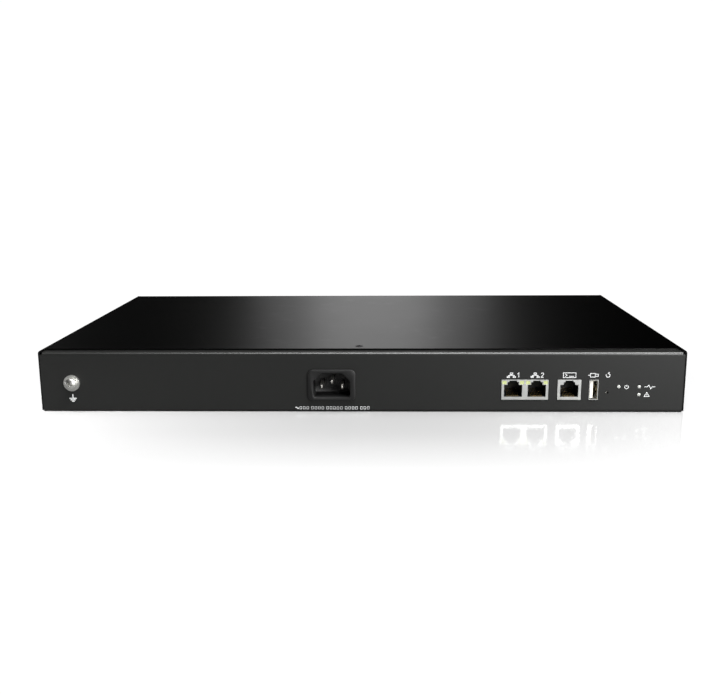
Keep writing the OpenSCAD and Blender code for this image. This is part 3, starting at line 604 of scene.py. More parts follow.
FINISHES: dict[str, Finish] = {
    "pan_powder": PowderCoat("pan_powder", (0.0085, 0.0088, 0.0083), roughness=0.35, shine=0.5),
    "cover_powder": PowderCoat("cover_powder", (0.0018, 0.0018, 0.0018), roughness=0.34, relief=0.008),
    "zinc_plate": Metal("zinc_plate", (0.78, 0.78, 0.75), 0.3, tarnish=(0.42, 0.4, 0.32), relief=0.012),
    "black_oxide": Metal("black_oxide", (0.07, 0.07, 0.075), 0.34, tarnish=(0.16, 0.13, 0.1)),
    "tin_plate": Metal("tin_plate", (0.78, 0.79, 0.77), 0.34, grain=(8, 1, 1), tarnish=(0.5, 0.5, 0.44)),
    # A darker copy of the tin plate for the inlet blades: painted shade for the recess that they sit in.
    "shaded_blade_plate": Metal("tin_plate", (0.34, 0.33, 0.31), 0.36, tarnish=(0.25, 0.22, 0.16)),
    "bright_steel": Metal("zinc_plate", (0.7, 0.71, 0.72), 0.18, grain=(1, 1, 8)),
    "gold_contact": Metal("gold_contact", (0.90, 0.66, 0.28), 0.22, tarnish=(0.6, 0.4, 0.15)),
    "brass_nickel": Metal("brass_nickel", (0.62, 0.56, 0.40), 0.34, tarnish=(0.4, 0.42, 0.3), aged=0.4),
    "solder": Metal("tin_plate", (0.72, 0.73, 0.74), 0.3, relief=0.03, tarnish=GREY),
    "black_nylon": Moulded("black_nylon", (0.012, 0.012, 0.012), 0.42),
    # A darker copy of the black nylon for the inlet housing: painted shade for the inlet's recess, spread
    # over the whole housing.
    "inlet_shaded_nylon": Moulded("black_nylon", (0.006, 0.006, 0.006), 0.4, relief=0.006),
    "white_nylon": Moulded("white_nylon", (0.72, 0.70, 0.64), 0.45, grain=0.5),
    "light_pipe": Lens("light_pipe", (0.62, 0.63, 0.60), clear=0.35),
    "jack_lens": Lens("jack_lens", (0.52, 0.57, 0.27), clear=0.15),
    "board_green": Laminate("board_green", (0.012, 0.085, 0.032)),
    "board_tan": Laminate("board_tan", (0.42, 0.27, 0.10), weave=1.4, roughness=0.45),
    "trace_green": Laminate("board_green", (0.03, 0.17, 0.07), weave=0.6),
    "package_black": Moulded("package_black", (0.018, 0.018, 0.02), 0.5, grain=0.2, relief=0.006),
    "ceramic_tan": Moulded("ferrite", (0.42, 0.30, 0.18), 0.38, grain=0.2, relief=0.004),
    "disc_blue": Moulded("can_sleeve", (0.03, 0.10, 0.34), 0.3, grain=0.8),
    "film_yellow": Moulded("can_sleeve", (0.62, 0.46, 0.05), 0.35, grain=0.8),
    "processor_die": Metal("processor_die", (0.42, 0.44, 0.46), 0.3, tarnish=(0.3, 0.3, 0.3)),
    "fin_aluminium": Metal("fin_aluminium", (0.66, 0.67, 0.69), 0.34, grain=(0.3, 8, 8), tarnish=GREY),
    "can_sleeve": Sleeved("can_sleeve", (0.012, 0.02, 0.05), 0.3),
    "can_stripe": Sleeved("can_sleeve", (0.42, 0.45, 0.5), 0.35),
    "can_top": Metal("can_sleeve", (0.72, 0.73, 0.74), 0.34, aged=0.05),
    "ferrite": Moulded("ferrite", (0.055, 0.056, 0.06), 0.55, grain=0.3, relief=0.02),
    "toroid_green": Moulded("ferrite", (0.03, 0.13, 0.09), 0.4, grain=0.6),
    "transformer_tape": Sleeved("transformer_tape", (0.72, 0.50, 0.03), 0.3),
    "copper_wire": Metal("copper_wire", (0.78, 0.33, 0.14), 0.24, tarnish=(0.4, 0.13, 0.05), aged=0.3),
    "cell_steel": Metal("cell_steel", (0.78, 0.78, 0.77), 0.22, grain=(1, 1, 1)),
    "fuse_glass": Lens("fuse_glass", (0.93, 0.95, 0.95), roughness=0.03, clear=0.95),
    "insulator_film": Moulded("insulator_film", (0.62, 0.58, 0.46), 0.6, grain=0.9, drift=0.06),
    "boot_red": Sleeved("boot_red", (0.36, 0.025, 0.018), 0.35),
    "wire_brown": Sleeved("wire_brown", (0.14, 0.05, 0.022)),
    "wire_blue": Sleeved("wire_brown", (0.02, 0.08, 0.30)),
    "wire_green": Sleeved("wire_green", (0.05, 0.24, 0.035)),
    "wire_yellow": Sleeved("wire_green", (0.75, 0.60, 0.02)),
    "wire_red": Sleeved("wire_red", (0.50, 0.016, 0.012)),
    "wire_black": Sleeved("wire_red", (0.012, 0.012, 0.012)),
    "wire_gold": Sleeved("wire_red", (0.68, 0.50, 0.03)),
    "fan_plastic": Moulded("fan_plastic", (0.014, 0.014, 0.0145), 0.38, grain=0.5),
    "ink_white": Ink("pan_powder", (0.68, 0.69, 0.69)),
    "mark_grey": Ink("package_black", (0.32, 0.32, 0.31)),
    "silk_white": Ink("board_green", (0.75, 0.76, 0.72)),
}


class Paintbox:
    """Makes each finish's material once, when it is first asked for."""

    def __init__(self) -> None:
        """Starts with nothing mixed."""
        self.mixed: dict[str, bpy.types.Material] = {}

    def __getitem__(self, name: str) -> bpy.types.Material:
        """The material of a finish."""
        if name not in self.mixed:
            self.mixed[name] = FINISHES[name].material(name)
        return self.mixed[name]


PAINT = Paintbox()


# ---------------------------------------------------------------- pieces


class Piece:
    """One piece in the making: its corners, its faces and the finish of each face."""

    def __init__(self, *finishes: str) -> None:
        """Starts an empty piece.

        Args:
            *finishes: The names of its finishes; a face's finish is its place in this list.
        """
        self.finishes = finishes
        self.points: list[Vector] = []
        self.faces: list[tuple[int, ...]] = []
        self.marks: list[int] = []

    def loft(
        self,
        rings: Sequence[Sequence[Point]],
        finish: int = 0,
        closed: bool = False,
        stripe: Iterable[int] = (),
    ) -> None:
        """Joins rings of points into a solid.

        Args:
            rings: The rings, all with the same number of points.
            finish: The finish of its faces.
            closed: Whether the last ring joins the first, instead of both being capped.
            stripe: The sides of the rings that take the next finish.
        """
        base, n, count = len(self.points), len(rings[0]), len(rings)
        striped = set(stripe)
        self.points += [Vector(p) for ring in rings for p in ring]
        for i in range(count if closed else count - 1):
            a, b = base + i * n, base + (i + 1) % count * n
            for k in range(n):
                j = (k + 1) % n
                self.faces.append((a + k, a + j, b + j, b + k))
                self.marks.append(finish + (k in striped))
        if not closed:
            top = base + (count - 1) * n
            self.faces.append(tuple(base + n - 1 - k for k in range(n)))
            self.faces.append(tuple(top + k for k in range(n)))
            self.marks += [finish, finish]

    def block(self, low: Point, high: Point, finish: int = 0, taper: float = 0.0) -> None:
        """Adds a box between two corners, narrower at its top by a taper on every side."""
        rings = []
        for z, t in ((low[2], 0), (high[2], taper)):
            a, b, c, d = low[0] + t, low[1] + t, high[0] - t, high[1] - t
            rings.append([(a, b, z), (c, b, z), (c, d, z), (a, d, z)])
        self.loft(rings, finish)

    def post(self, x: float, y: float, half: Point, low: float, high: float, finish: int = 0) -> None:
        """Adds an upright box about a middle, from its half width and half depth, between two heights."""
        self.block((x - half[0], y - half[1], low), (x + half[0], y + half[1], high), finish)

    def prism(self, outline: Sequence[Point], place: Matrix, depth: float, finish: int = 0) -> None:
        """Adds an outline in a placement's XY plane, pushed along its Z."""
        self.loft([[place @ Vector((x, y, z)) for x, y in outline] for z in (0, depth)], finish)

    def lathe(
        self,
        profile: Sequence[tuple[float, float]],
        place: Matrix,
        steps: int = 32,
        finish: int = 0,
        stripe: Iterable[int] = (),
    ) -> None:
        """Turns a profile of radii and heights about a placement's Z.

        Args:
            profile: The radii and heights, from one end to the other.
            place: The placement that it is turned in.
            steps: How many sides it has.
            finish: The finish of its faces.
            stripe: The sides that take the next finish.
        """
        rings = [[(r * math.cos(a), r * math.sin(a), z) for a in turns(steps)] for r, z in profile]
        self.loft([[place @ Vector(p) for p in ring] for ring in rings], finish, stripe=stripe)

    def sweep(
        self,
        path: Sequence[Point],
        radius: float,
        sides: int = 10,
        finish: int = 0,
        closed: bool = False,
        stripe: Iterable[int] = (),
        flat: float = 1.0,
    ) -> None:
        """Runs a round or oval section along a path.

        Args:
            path: The points of its centreline.
            radius: The section's radius.
            sides: How many sides the section has.
            finish: The finish of its faces.
            closed: Whether the path joins itself.
            stripe: The sides that take the next finish.
            flat: The section's thickness as a share of its width.
        """
        p = [Vector(q) for q in path]
        n = len(p)
        rings, side = [], None
        for i in range(n):
            ahead, behind = (p[(i + 1) % n], p[i - 1]) if closed else (p[min(i + 1, n - 1)], p[max(i - 1, 0)])
            way = (ahead - behind).normalized()
            if side is None:
                side = Z if abs(way.z) < 0.8 else X
            side = (side - way * side.dot(way)).normalized()
            other = way.cross(side)
            section = [math.cos(a) * side * flat + math.sin(a) * other for a in turns(sides)]
            rings.append([p[i] + radius * q for q in section])
        self.loft(rings, finish, closed, stripe)

    def ribbon(
        self,
        path: Sequence[Point],
        width: float,
        place: Matrix,
        depth: float,
        finish: int = 0,
        closed: bool = False,
    ) -> None:
        """Draws a flat line of one width in a placement's XY plane, with mitred corners.

        Args:
            path: The line's points.
            width: Its width.
            place: The plane that it lies in.
            depth: Its thickness along the plane's Z.
            finish: The finish of its faces.
            closed: Whether the line joins itself.
        """
        p = [Vector((*q, 0)) for q in path]
        n = len(p)
        rings = []
        for i in range(n):
            before = (p[i] - p[i - 1]).normalized() if closed or i else None
            after = (p[(i + 1) % n] - p[i]).normalized() if closed or i < n - 1 else None
            before, after = before or after, after or before
            mid = (before + after).normalized()
            out = Vector((-mid.y, mid.x, 0)) * (width / 2 / max(0.35, mid.dot(after)))
            ring = [p[i] + out, p[i] - out, p[i] - out + Z * depth, p[i] + out + Z * depth]
            rings.append([place @ q for q in ring])
        self.loft(rings, finish, closed)

    def copy(self, node: str, finish: int = 0) -> None:
        """Adds the shape of a frame node."""
        mesh = frame["nodes"][node].data
        base = len(self.points)
        self.points += [v.co / MM for v in mesh.vertices]
        self.faces += [tuple(base + v for v in face.vertices) for face in mesh.polygons]
        self.marks += [finish] * len(mesh.polygons)

    def build(
        self,
        name: str,
        body: Body = Body.CHASSIS,
        replaces: Sequence[str] = (),
        bevel: float = 0.0,
        smooth: float = 32,
        weld: bool = False,
    ) -> bpy.types.Object:
        """Makes the Blender object, sets it on its body and reports it.

        Args:
            name: The piece's name.
            body: The body that it rides on.
            replaces: The frame nodes that it stands for.
            bevel: How far its sharp edges are rounded, in millimetres.
            smooth: The angle above which an edge stays sharp, in degrees.
            weld: Whether doubled corners are joined and flat faces merged first.

        Returns:
            The object.
        """
        mesh = bpy.data.meshes.new(name)
        mesh.from_pydata([p * MM for p in self.points], [], self.faces)
        for finish in self.finishes:
            mesh.materials.append(PAINT[finish])
        mesh.polygons.foreach_set("material_index", self.marks)
        work = bmesh.new()
        work.from_mesh(mesh)
        if weld:
            bmesh.ops.remove_doubles(work, verts=work.verts, dist=1e-6)
            bmesh.ops.dissolve_limit(work, angle_limit=math.radians(1), verts=work.verts, edges=work.edges)
        bmesh.ops.recalc_face_normals(work, faces=work.faces)
        if bevel:
            limit = math.radians(smooth)
            edges = [e for e in work.edges if len(e.link_faces) == 2 and e.calc_face_angle() > limit]
            shape = {"segments": 2, "profile": 0.5, "affect": "EDGES", "clamp_overlap": True}
            bmesh.ops.bevel(work, geom=edges, offset=bevel * MM, **shape)
        work.to_mesh(mesh)
        work.free()
        mesh.polygons.foreach_set("use_smooth", [True] * len(mesh.polygons))
        mesh.set_sharp_from_angle(angle=math.radians(smooth))
        made = bpy.data.objects.new(name, mesh)
        bpy.context.scene.collection.objects.link(made)
        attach(made, body.value)
        FINISHES[self.finishes[0]].slot
        if replaces:
            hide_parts(*replaces)
        log.info("%s rides on %s, %d faces", name, body.value, len(mesh.polygons))
        return made


# ---------------------------------------------------------------- sub-assemblies


@dataclass
class Enclosure:
    """The folded pan and its cover, and the finish of every frame node that keeps its own shape."""

    def dress(self) -> None:
        """Gives each frame node the finish of its slot."""
        for part in frame["record"]["subparts"]:
            mesh = frame["nodes"][part["node"]].data
            mesh.materials.clear()
            mesh.materials.append(PAINT[part["material_slot"]])
            log.info("%s keeps its shape, in %s", part["node"], part["material_slot"])


@dataclass
class PanelPrint:
    """The white print on the port panel: plain picture signs, two numerals and bars in place of words."""

    line: float = 0.38
    small_line: float = 0.22
    film: float = 0.05
    label_up: float = 1.4
    label_h: float = 3.3
    digit_w: float = 1.7

    def __post_init__(self) -> None:
        """Finds the panel's face and starts the print."""
        self.face = box("base_pan").low.y
        self.piece = Piece("ink_white")

    def plane(self, x: float, z: float) -> Matrix:
        """The panel's plane, with its origin at a place on the panel, X to the right and Y up."""
        return Matrix(((1, 0, 0, x), (0, 0, -1, self.face), (0, 1, 0, z), (0, 0, 0, 1)))

    def stroke(
        self, at: Point, path: Sequence[Point], closed: bool = False, width: float | None = None
    ) -> None:
        """Prints one line, placed at a spot on the panel."""
        self.piece.ribbon(path, width or self.line, self.plane(*at), self.film, closed=closed)

    def bow(self, at: Point, radius: float, start: float, end: float) -> None:
        """Prints a part of a circle."""
        self.stroke(at, [p.xy for p in arc((0, 0, 0), radius, X, Y, start, end, 20)])

    def frame_of(self, at: Point, w: float, h: float, width: float | None = None) -> None:
        """Prints the outline of a rectangle."""
        self.stroke(at, rectangle(0, 0, w / 2, h / 2), True, width)

    def bar(self, at: Point, w: float, h: float) -> None:
        """Prints a filled bar."""
        self.stroke(at, [(-w / 2, 0), (w / 2, 0)], width=h)

    def digit(self, at: Point, number: int) -> None:
        """Prints the numeral 1 or 2."""
        w, h = self.digit_w / 2, self.label_h / 2
        shapes = {
            1: [(-w, h * 0.45), (0.1, h), (0.1, -h)],
            2: [
                (-w, h * 0.5), (-w * 0.6, h * 0.92), (w * 0.6, h * 0.92),
                (w, h * 0.45), (-w, -h * 0.9), (w, -h * 0.9),
            ],
        }
        self.stroke(at, shapes[number])

    def network(self, x: float, z: float, number: int) -> None:
        """Prints three linked boxes and a number, over a network jack."""
        h, mid = self.label_h, x - 1.3
        self.frame_of((mid, z + h * 0.32), 1.7, 1.0)
        self.stroke((mid, z), [(0, h * 0.14), (0, -h * 0.1)])
        self.stroke((mid, z), [(-2, -h * 0.26), (-2, -h * 0.06), (2, -h * 0.06), (2, -h * 0.26)])
        for side in (-2, 2):
            self.frame_of((mid + side, z - h * 0.38), 1.6, 0.7)
        self.digit((x + 3.6, z), number)

    def console(self, x: float, z: float) -> None:
        """Prints a prompt on a screen, over the console jack."""
        self.frame_of((x, z), 8.4, self.label_h)
        self.stroke((x - 2.2, z), [(-0.8, 0.9), (0.5, 0), (-0.8, -0.9)])
        self.stroke((x + 1.3, z - 0.75), [(-1.6, 0), (1.6, 0)])

    def plug(self, x: float, z: float) -> None:
        """Prints a plain plug on its lead, over the upright socket."""
        self.frame_of((x - 0.4, z), 3.2, 2.5)
        self.frame_of((x + 2.3, z), 1.8, 1.5)
        self.stroke((x - 2.2, z), [(0.2, 0), (-1.4, 0)])

    def restart(self, x: float, z: float) -> None:
        """Prints a round arrow, over the reset hole."""
        r = self.label_h * 0.4
        self.bow((x, z), r, -215, 75)
        self.stroke((x, z + r), [(1.0, 0.75), (0, 0), (1.0, -0.75)])

    def power(self, x: float, z: float) -> None:
        """Prints a stroke in an open circle, beside the power light."""
        r = 1.25
        self.bow((x, z - 0.1), r, -235, 55)
        self.stroke((x, z), [(0, 1.4), (0, 0.1)])

    def pulse(self, x: float, z: float) -> None:
        """Prints a pulse, beside the status light."""
        self.stroke((x, z), [(-3.6, 0), (-1.6, 0), (-0.7, 1.3), (0.7, -1.3), (1.6, 0), (3.6, 0)])

    def warning(self, x: float, z: float) -> None:
        """Prints a triangle around a dot and a bar, beside the alarm light."""
        self.stroke((x, z), [(-1.7, -1.25), (1.7, -1.25), (0, 1.6)], closed=True)
        self.stroke((x, z - 0.1), [(0, 0.55), (0, -0.35)], width=0.35)

    def earth(self, x: float, z: float) -> None:
        """Prints the sign for protective earth, under the earth screw."""
        self.stroke((x, z), [(0, 2.6), (0, -0.2)], width=0.7)
        for up, w in ((-0.4, 5.0), (-1.45, 3.6), (-2.4, 1.8)):
            self.bar((x, z + up), w, 0.7)

    def rating(self, x: float, z: float) -> None:
        """Prints a wave sign and a row of bars in place of the inlet's rating."""
        wave = [(-1.2 + 0.24 * i, 0.5 * math.sin(math.pi * (0.24 * i) / 1.2)) for i in range(11)]
        self.stroke((x - 24, z), wave, width=0.5)
        spot = x - 21.5
        for letters in (3, 4, 5, 4, 3):
            for _ in range(letters):
                self.frame_of((spot, z), 1.3, 1.8, self.small_line)
                spot += 2.36
            spot += 0.95

    def make(self) -> None:
        """Prints everything and hands over the one piece of ink."""
        up = box("ethernet_shield").high.z + self.label_up + self.label_h / 2
        jacks = sorted({round(b.centre.x, 2) for b in solids("ethernet_leds")})
        firsts = [(jacks[0] + jacks[1]) / 2, (jacks[2] + jacks[3]) / 2]
        for number, x in enumerate(firsts, 1):
            self.network(x, up, number)
        self.console(box("console_shield").centre.x, up)
        self.plug(box("usb_shell").centre.x - 0.4, up)
        self.restart(box("reset_button").centre.x, up)
        power, alarm, status = sorted(solids("indicator_pipes"), key=lambda b: (b.centre.x > 180, b.centre.z))
        self.power(power.centre.x + 5.2, power.centre.z)
        self.pulse(status.centre.x + 7, status.centre.z)
        self.warning(alarm.centre.x + 5.2, alarm.centre.z)
        ground = box("ground_flat_washer").centre
        self.earth(ground.x, ground.z - 10.5)
        self.rating(box("inlet_body").centre.x, 2.9)
        self.piece.build("panel_print")


@dataclass
class PowerInlet:
    """The blades, boots and wires of the mains inlet."""

    wire_r: float = 1.3
    earth_r: float = 1.2
    tip: float = 1.6
    blade_w: float = 2.0
    blade_h: float = 4.0
    rounding: float = 0.45

    def blades(self) -> None:
        """Three plated blades with tapered tips, each ending in a flat tab."""
        # The blades take the darker copy of the plate, painted shade from the inlet's recess.
        piece = Piece("shaded_blade_plate")
        for b in solids("inlet_pins"):
            c, s = b.centre, b.size
            root = box("inlet_body").high.y - 0.05
            rings = []
            for y, k in ((b.low.y, 0.5), (b.low.y + self.tip, 1), (root, 1)):
                section = rectangle(c.x, c.z, self.blade_w / 2 * k, self.blade_h / 2 * (0.1 + 0.9 * k))
                rings.append([(x, y, z) for x, z in section])
            piece.loft(rings)
            half = s.x * 0.2
            piece.block((c.x - half, root, b.low.z), (c.x + half, b.high.y, b.high.z))
        piece.build("inlet_blades", replaces=["inlet_pins"], bevel=0.25)

    def boots(self) -> list[Box]:
        """Soft insulating boots over the tabs.

        Returns:
            The boots' boxes: live, earth and neutral.
        """
        piece = Piece("boot_red")
        found = solids("inlet_boots")
        for b in found:
            c, s = b.centre, b.size
            rings = []
            for t, k in ((0, 0.94), (0.04, 1), (0.62, 1), (0.8, 0.86), (0.93, 0.66), (1, 0.6)):
                y = b.low.y + s.y * t
                section = squircle(c.x, c.z, k * s.x / 2, k * s.z / 2, (0.6, 0.5), 24)
                rings.append([(x, y, z) for x, z in section])
            piece.loft(rings)
        piece.build("inlet_boot_sleeves", replaces=["inlet_boots"])
        return found

    def housing(self) -> None:
        """The moulded housing, with its edges rounded."""
        # The whole housing takes the darker nylon, painted shade for its recess.
        piece = Piece("inlet_shaded_nylon")
        piece.copy("inlet_body")
        piece.build("inlet_housing", replaces=["inlet_body"], bevel=self.rounding, weld=True)

    def make(self) -> None:
        """Makes the housing, the blades, the boots and the three wires."""
        self.housing()
        self.blades()
        live, earth, neutral = self.boots()
        start = live.high.y
        feed = solids("psu_terminals")[0]
        entry = Vector((feed.centre.x + 1, feed.low.y, 17))
        first = [
            (live.centre.x, start, live.centre.z), (live.centre.x, start + 5, live.centre.z),
            (-30, -72, 13), (-42, -67, 6), (-58, -67, 4), (-78, -70, 4), (-92, -74, 7),
            (entry.x + 2, -72, 14), (entry.x + 2, -65, 17), (entry.x + 2, entry.y, 17),
        ]
        second = [
            (neutral.centre.x, start, neutral.centre.z), (neutral.centre.x, start + 6, neutral.centre.z),
            (-17, -68, 12), (-32, -61, 5), (-52, -62.5, 4), (-74, -65.5, 4), (-90, -69.5, 4), (-101, -75, 7),
            (entry.x - 6, -73, 14), (entry.x - 6, -65, 17), (entry.x - 6, entry.y, 17),
        ]
        mains = Piece("wire_brown", "wire_blue")
        mains.sweep(curve(first), self.wire_r)
        mains.sweep(curve(second), self.wire_r, finish=1)
        mains.build("mains_leads", replaces=["mains_wires"])
        stud = box("earth_stud").centre
        third = [
            (earth.centre.x, start, earth.centre.z), (earth.centre.x, start + 4, earth.centre.z),
            (earth.centre.x, start + 9, 18), (earth.centre.x - 3, start + 9, 11), (-26, -82, 5),
            (-30, -89, 3.9), (-34, stud.y, 3.9), (stud.x + 12.5, stud.y, 3.9),
        ]
        ground = Piece("wire_green", "wire_yellow")
        ground.sweep(curve(third), self.earth_r, sides=12, stripe=(1, 2, 7, 8))
        ground.build("earth_lead", replaces=["earth_wire"])


@dataclass
class Ports:
    """The sprung contacts of the jacks, and the domed windows of the indicators."""

    wire_r: float = 0.2
    rise: float = 2.7
    dome: float = 0.35

    def contacts(self, node: str, name: str) -> None:
        """Bent round wires in place of a frame node's plain contacts."""
        piece = Piece("gold_contact")
        for b in solids(node):
            x, y, z = b.centre.x, b.low.y, b.low.z + self.wire_r
            end, top = b.high.y, z + self.rise
            path = [
                (x, y + 0.3, z), (x, y + 1.2, z), (x, y + 2.2, z + 0.5),
                (x, end - 2.2, top - 0.35), (x, end - 1.3, top), (x, end - 0.1, top - 0.1),
            ]
            piece.sweep(curve(path, 4), self.wire_r, sides=8)
        piece.build(name, replaces=[node])

    def windows(self) -> None:
        """Light pipes with domed fronts."""
        piece = Piece("light_pipe")
        for b in solids("indicator_pipes"):
            r = b.size.x / 2
            bow = [math.radians(a) for a in (85, 65, 45, 25, 0)]
            profile = [(r * math.cos(a), self.dome * (1 - math.sin(a))) for a in bow] + [(r, b.size.y)]
            piece.lathe(profile, facing((b.centre.x, b.low.y, b.centre.z), Y), 24)
        piece.build("indicator_windows", replaces=["indicator_pipes"])

    def shields(self) -> None:
        """Sprung fingers and folded seams on the jacks' shields."""
        piece = Piece("tin_plate")
        for node, count in (("ethernet_shield", 4), ("console_shield", 2)):
            b = box(node)
            step = b.size.x / count
            for k in range(count):
                x = b.low.x + (k + 0.5) * step
                bumps = ((2.5, 0.05), (5, 0.5), (8, 0.05))
                path = [(x, b.low.y + y, b.high.z + z) for y, z in bumps]
                piece.sweep(curve(path, 4), 1.1, sides=8, flat=0.12)
            for s in (b.low.x, b.high.x):
                near, far = sorted((s, s + (0.15 if s > b.centre.x else -0.15)))
                piece.block((near, b.low.y + 6, b.low.z + 1.5), (far, b.low.y + 15, b.low.z + 2.1))
        piece.build("shield_springs", bevel=0.03)

    def make(self) -> None:
        """Makes the contacts, the windows and the shields' springs."""
        self.contacts("ethernet_contacts", "ethernet_springs")
        self.contacts("console_contacts", "console_springs")
        self.windows()
        self.shields()


@dataclass
class MainBoard:
    """The main board's components, tracks, pads and print."""

    seed: int = 7
    lead_pitch: float = 0.8
    track: float = 0.22
    film: float = 0.03
    mark: float = 0.012
    placed: list[Box] = field(default_factory=list)

    def __post_init__(self) -> None:
        """Finds the board and what already stands on it."""
        self.board = box("main_board")
        self.top = self.board.high.z
        self.rng = random.Random(self.seed)
        nodes = (
            "board_chips", "board_capacitors", "board_inductors", "magnetics", "board_headers",
            "coin_cell_holder", "board_screws", "memory_socket", "processor", "heatsink_pins",
            "ethernet_shield", "console_shield", "usb_shell", "reset_switch", "indicator_holders",
            "memory_module",
        )
        self.placed = [b for node in nodes for b in solids(node)]
        self.plane = Matrix.Translation((0, 0, self.top))

    def free(self, x: float, y: float, half: float) -> bool:
        """Whether a small part fits at a place on the board."""
        edge = 1.5
        inside = (
            self.board.low.x + edge < x - half and x + half < self.board.high.x - edge
            and self.board.low.y + edge < y - half and y + half < self.board.high.y - edge
        )
        low, high = (x - half, y - half), (x + half, y + half)
        return inside and not any(b.meets(low, high) for b in self.placed)

    def chips(self) -> None:
        """Flat packages with sloping sides, a dot, a marking of bars and gull-wing leads."""
        bodies = Piece("package_black", "mark_grey")
        leads = Piece("solder")
        for b in solids("board_chips"):
            c, s = b.centre, b.size
            stand = 0.12
            low, mid, high = self.top + stand, self.top + s.z * 0.5, b.high.z
            w, d, slope = s.x / 2, s.y / 2, 0.22
            rings = []
            for z, t in ((low, slope), (mid, 0), (high, slope)):
                rings.append([(x, y, z) for x, y in rectangle(c.x, c.y, w - t, d - t)])
            bodies.loft(rings)
            dot = facing((c.x - w + 1.3, c.y - d + 1.3, high), Z)
            bodies.lathe([(0.45, -0.02), (0.45, self.mark)], dot, 16, 1)
            rows = 2 if s.y < 8 else 3
            for k in range(rows):
                long = w * (0.62 - 0.14 * k)
                y = c.y + 0.9 - k * 1.5
                start = c.x - w * 0.6
                bodies.block((start, y, high - 0.02), (start + 2 * long, y + 0.5, high + self.mark), 1)
            square = abs(s.x - s.y) < 0.5 and s.x >= 8
            sides = [X, -X, Y, -Y] if square else [X, -X] if s.y >= s.x * 0.6 else [Y, -Y]
            for out in sides:
                self.lead_row(leads, c, out, w if out.x else d, d if out.x else w, mid)
        bodies.build("chip_packages", replaces=["board_chips"], bevel=0.05)
        leads.build("chip_leads")

    def lead_row(
        self, leads: Piece, centre: Vector, out: Vector, reach: float, half: float, mid: float
    ) -> None:
        """Adds one side's leads, which bend down from a package to the board.

        Args:
            leads: The piece that they are added to.
            centre: The package's middle.
            out: The way that the leads point.
            reach: How far the package's side is from its middle.
            half: Half the length of that side.
            mid: The height at which the leads leave the package.
        """
        along = Vector((-out.y, out.x, 0))
        count = max(2, int((2 * half - 1.6) / self.lead_pitch))
        for k in range(count):
            shift = (k - (count - 1) / 2) * self.lead_pitch
            base = Vector((centre.x, centre.y, 0)) + along * shift + out * (reach - 0.1)
            profile = [(0, mid), (0.45, mid), (0.75, self.top + 0.06), (1.35, self.top + 0.06)]
            rings = []
            for step, z in profile:
                p = base + out * step + Z * z
                corners = ((0.16, -0.05), (-0.16, -0.05), (-0.16, 0.07), (0.16, 0.07))
                rings.append([p + along * side + Z * up for side, up in corners])
            leads.loft(rings)

    def cans(self) -> None:
        """Electrolytic capacitors: sleeved cans with a rolled neck, a stripe and a scored top."""
        Cans("board_capacitors", "board_cans", self.top).make()

    def inductors(self) -> None:
        """Moulded chokes with clipped corners and end terminals."""
        piece = Piece("ferrite", "solder", "mark_grey")
        for b in solids("board_inductors"):
            c, w = b.centre, b.size.x / 2
            cut = 1.5
            near = w - cut
            outline = [
                (-near, -w), (near, -w), (w, -near), (w, near),
                (near, w), (-near, w), (-w, near), (-w, -near),
            ]
            rings = []
            for z, k in ((0.15, 1), (b.size.z * 0.8, 1), (b.size.z, 0.93)):
                rings.append([(c.x + x * k, c.y + y * k, self.top + z) for x, y in outline])
            piece.loft(rings)
            for s in (-1, 1):
                low, high = sorted((c.y + s * (w - 1.6), c.y + s * (w + 0.5)))
                piece.block((c.x - w * 0.5, low, self.top), (c.x + w * 0.5, high, self.top + 0.35), 1)
            for k in (-1, 1):
                y, z = c.y + k * 0.9, b.high.z
                piece.block((c.x - 1.5 + k * 0.2, y - 0.3, z - 0.02), (c.x + 1.5, y + 0.3, z + self.mark), 2)
        piece.build("power_chokes", replaces=["board_inductors"], bevel=0.15)

    def magnetics(self) -> None:
        """The network transformers: stepped bodies with a row of leads on each side."""
        piece = Piece("package_black", "mark_grey")
        leads = Piece("solder")
        for b in solids("magnetics"):
            low, high = b.low, b.high
            piece.block((low.x, low.y + 0.8, self.top + 0.3), (high.x, high.y - 0.8, high.z), taper=0.25)
            for k in range(3):
                y = b.centre.y + 2.5 - 2 * k
                end = (high.x - 2 - 2 * k, y + 0.7, high.z + self.mark)
                piece.block((low.x + 2, y, high.z - 0.02), end, 1)
            for out in (Y, -Y):
                self.lead_row(leads, b.centre, out, b.size.y / 2 - 0.8, b.size.x / 2, self.top + 1.6)
        piece.build("network_transformers", replaces=["magnetics"], bevel=0.12)
        leads.build("transformer_leads")

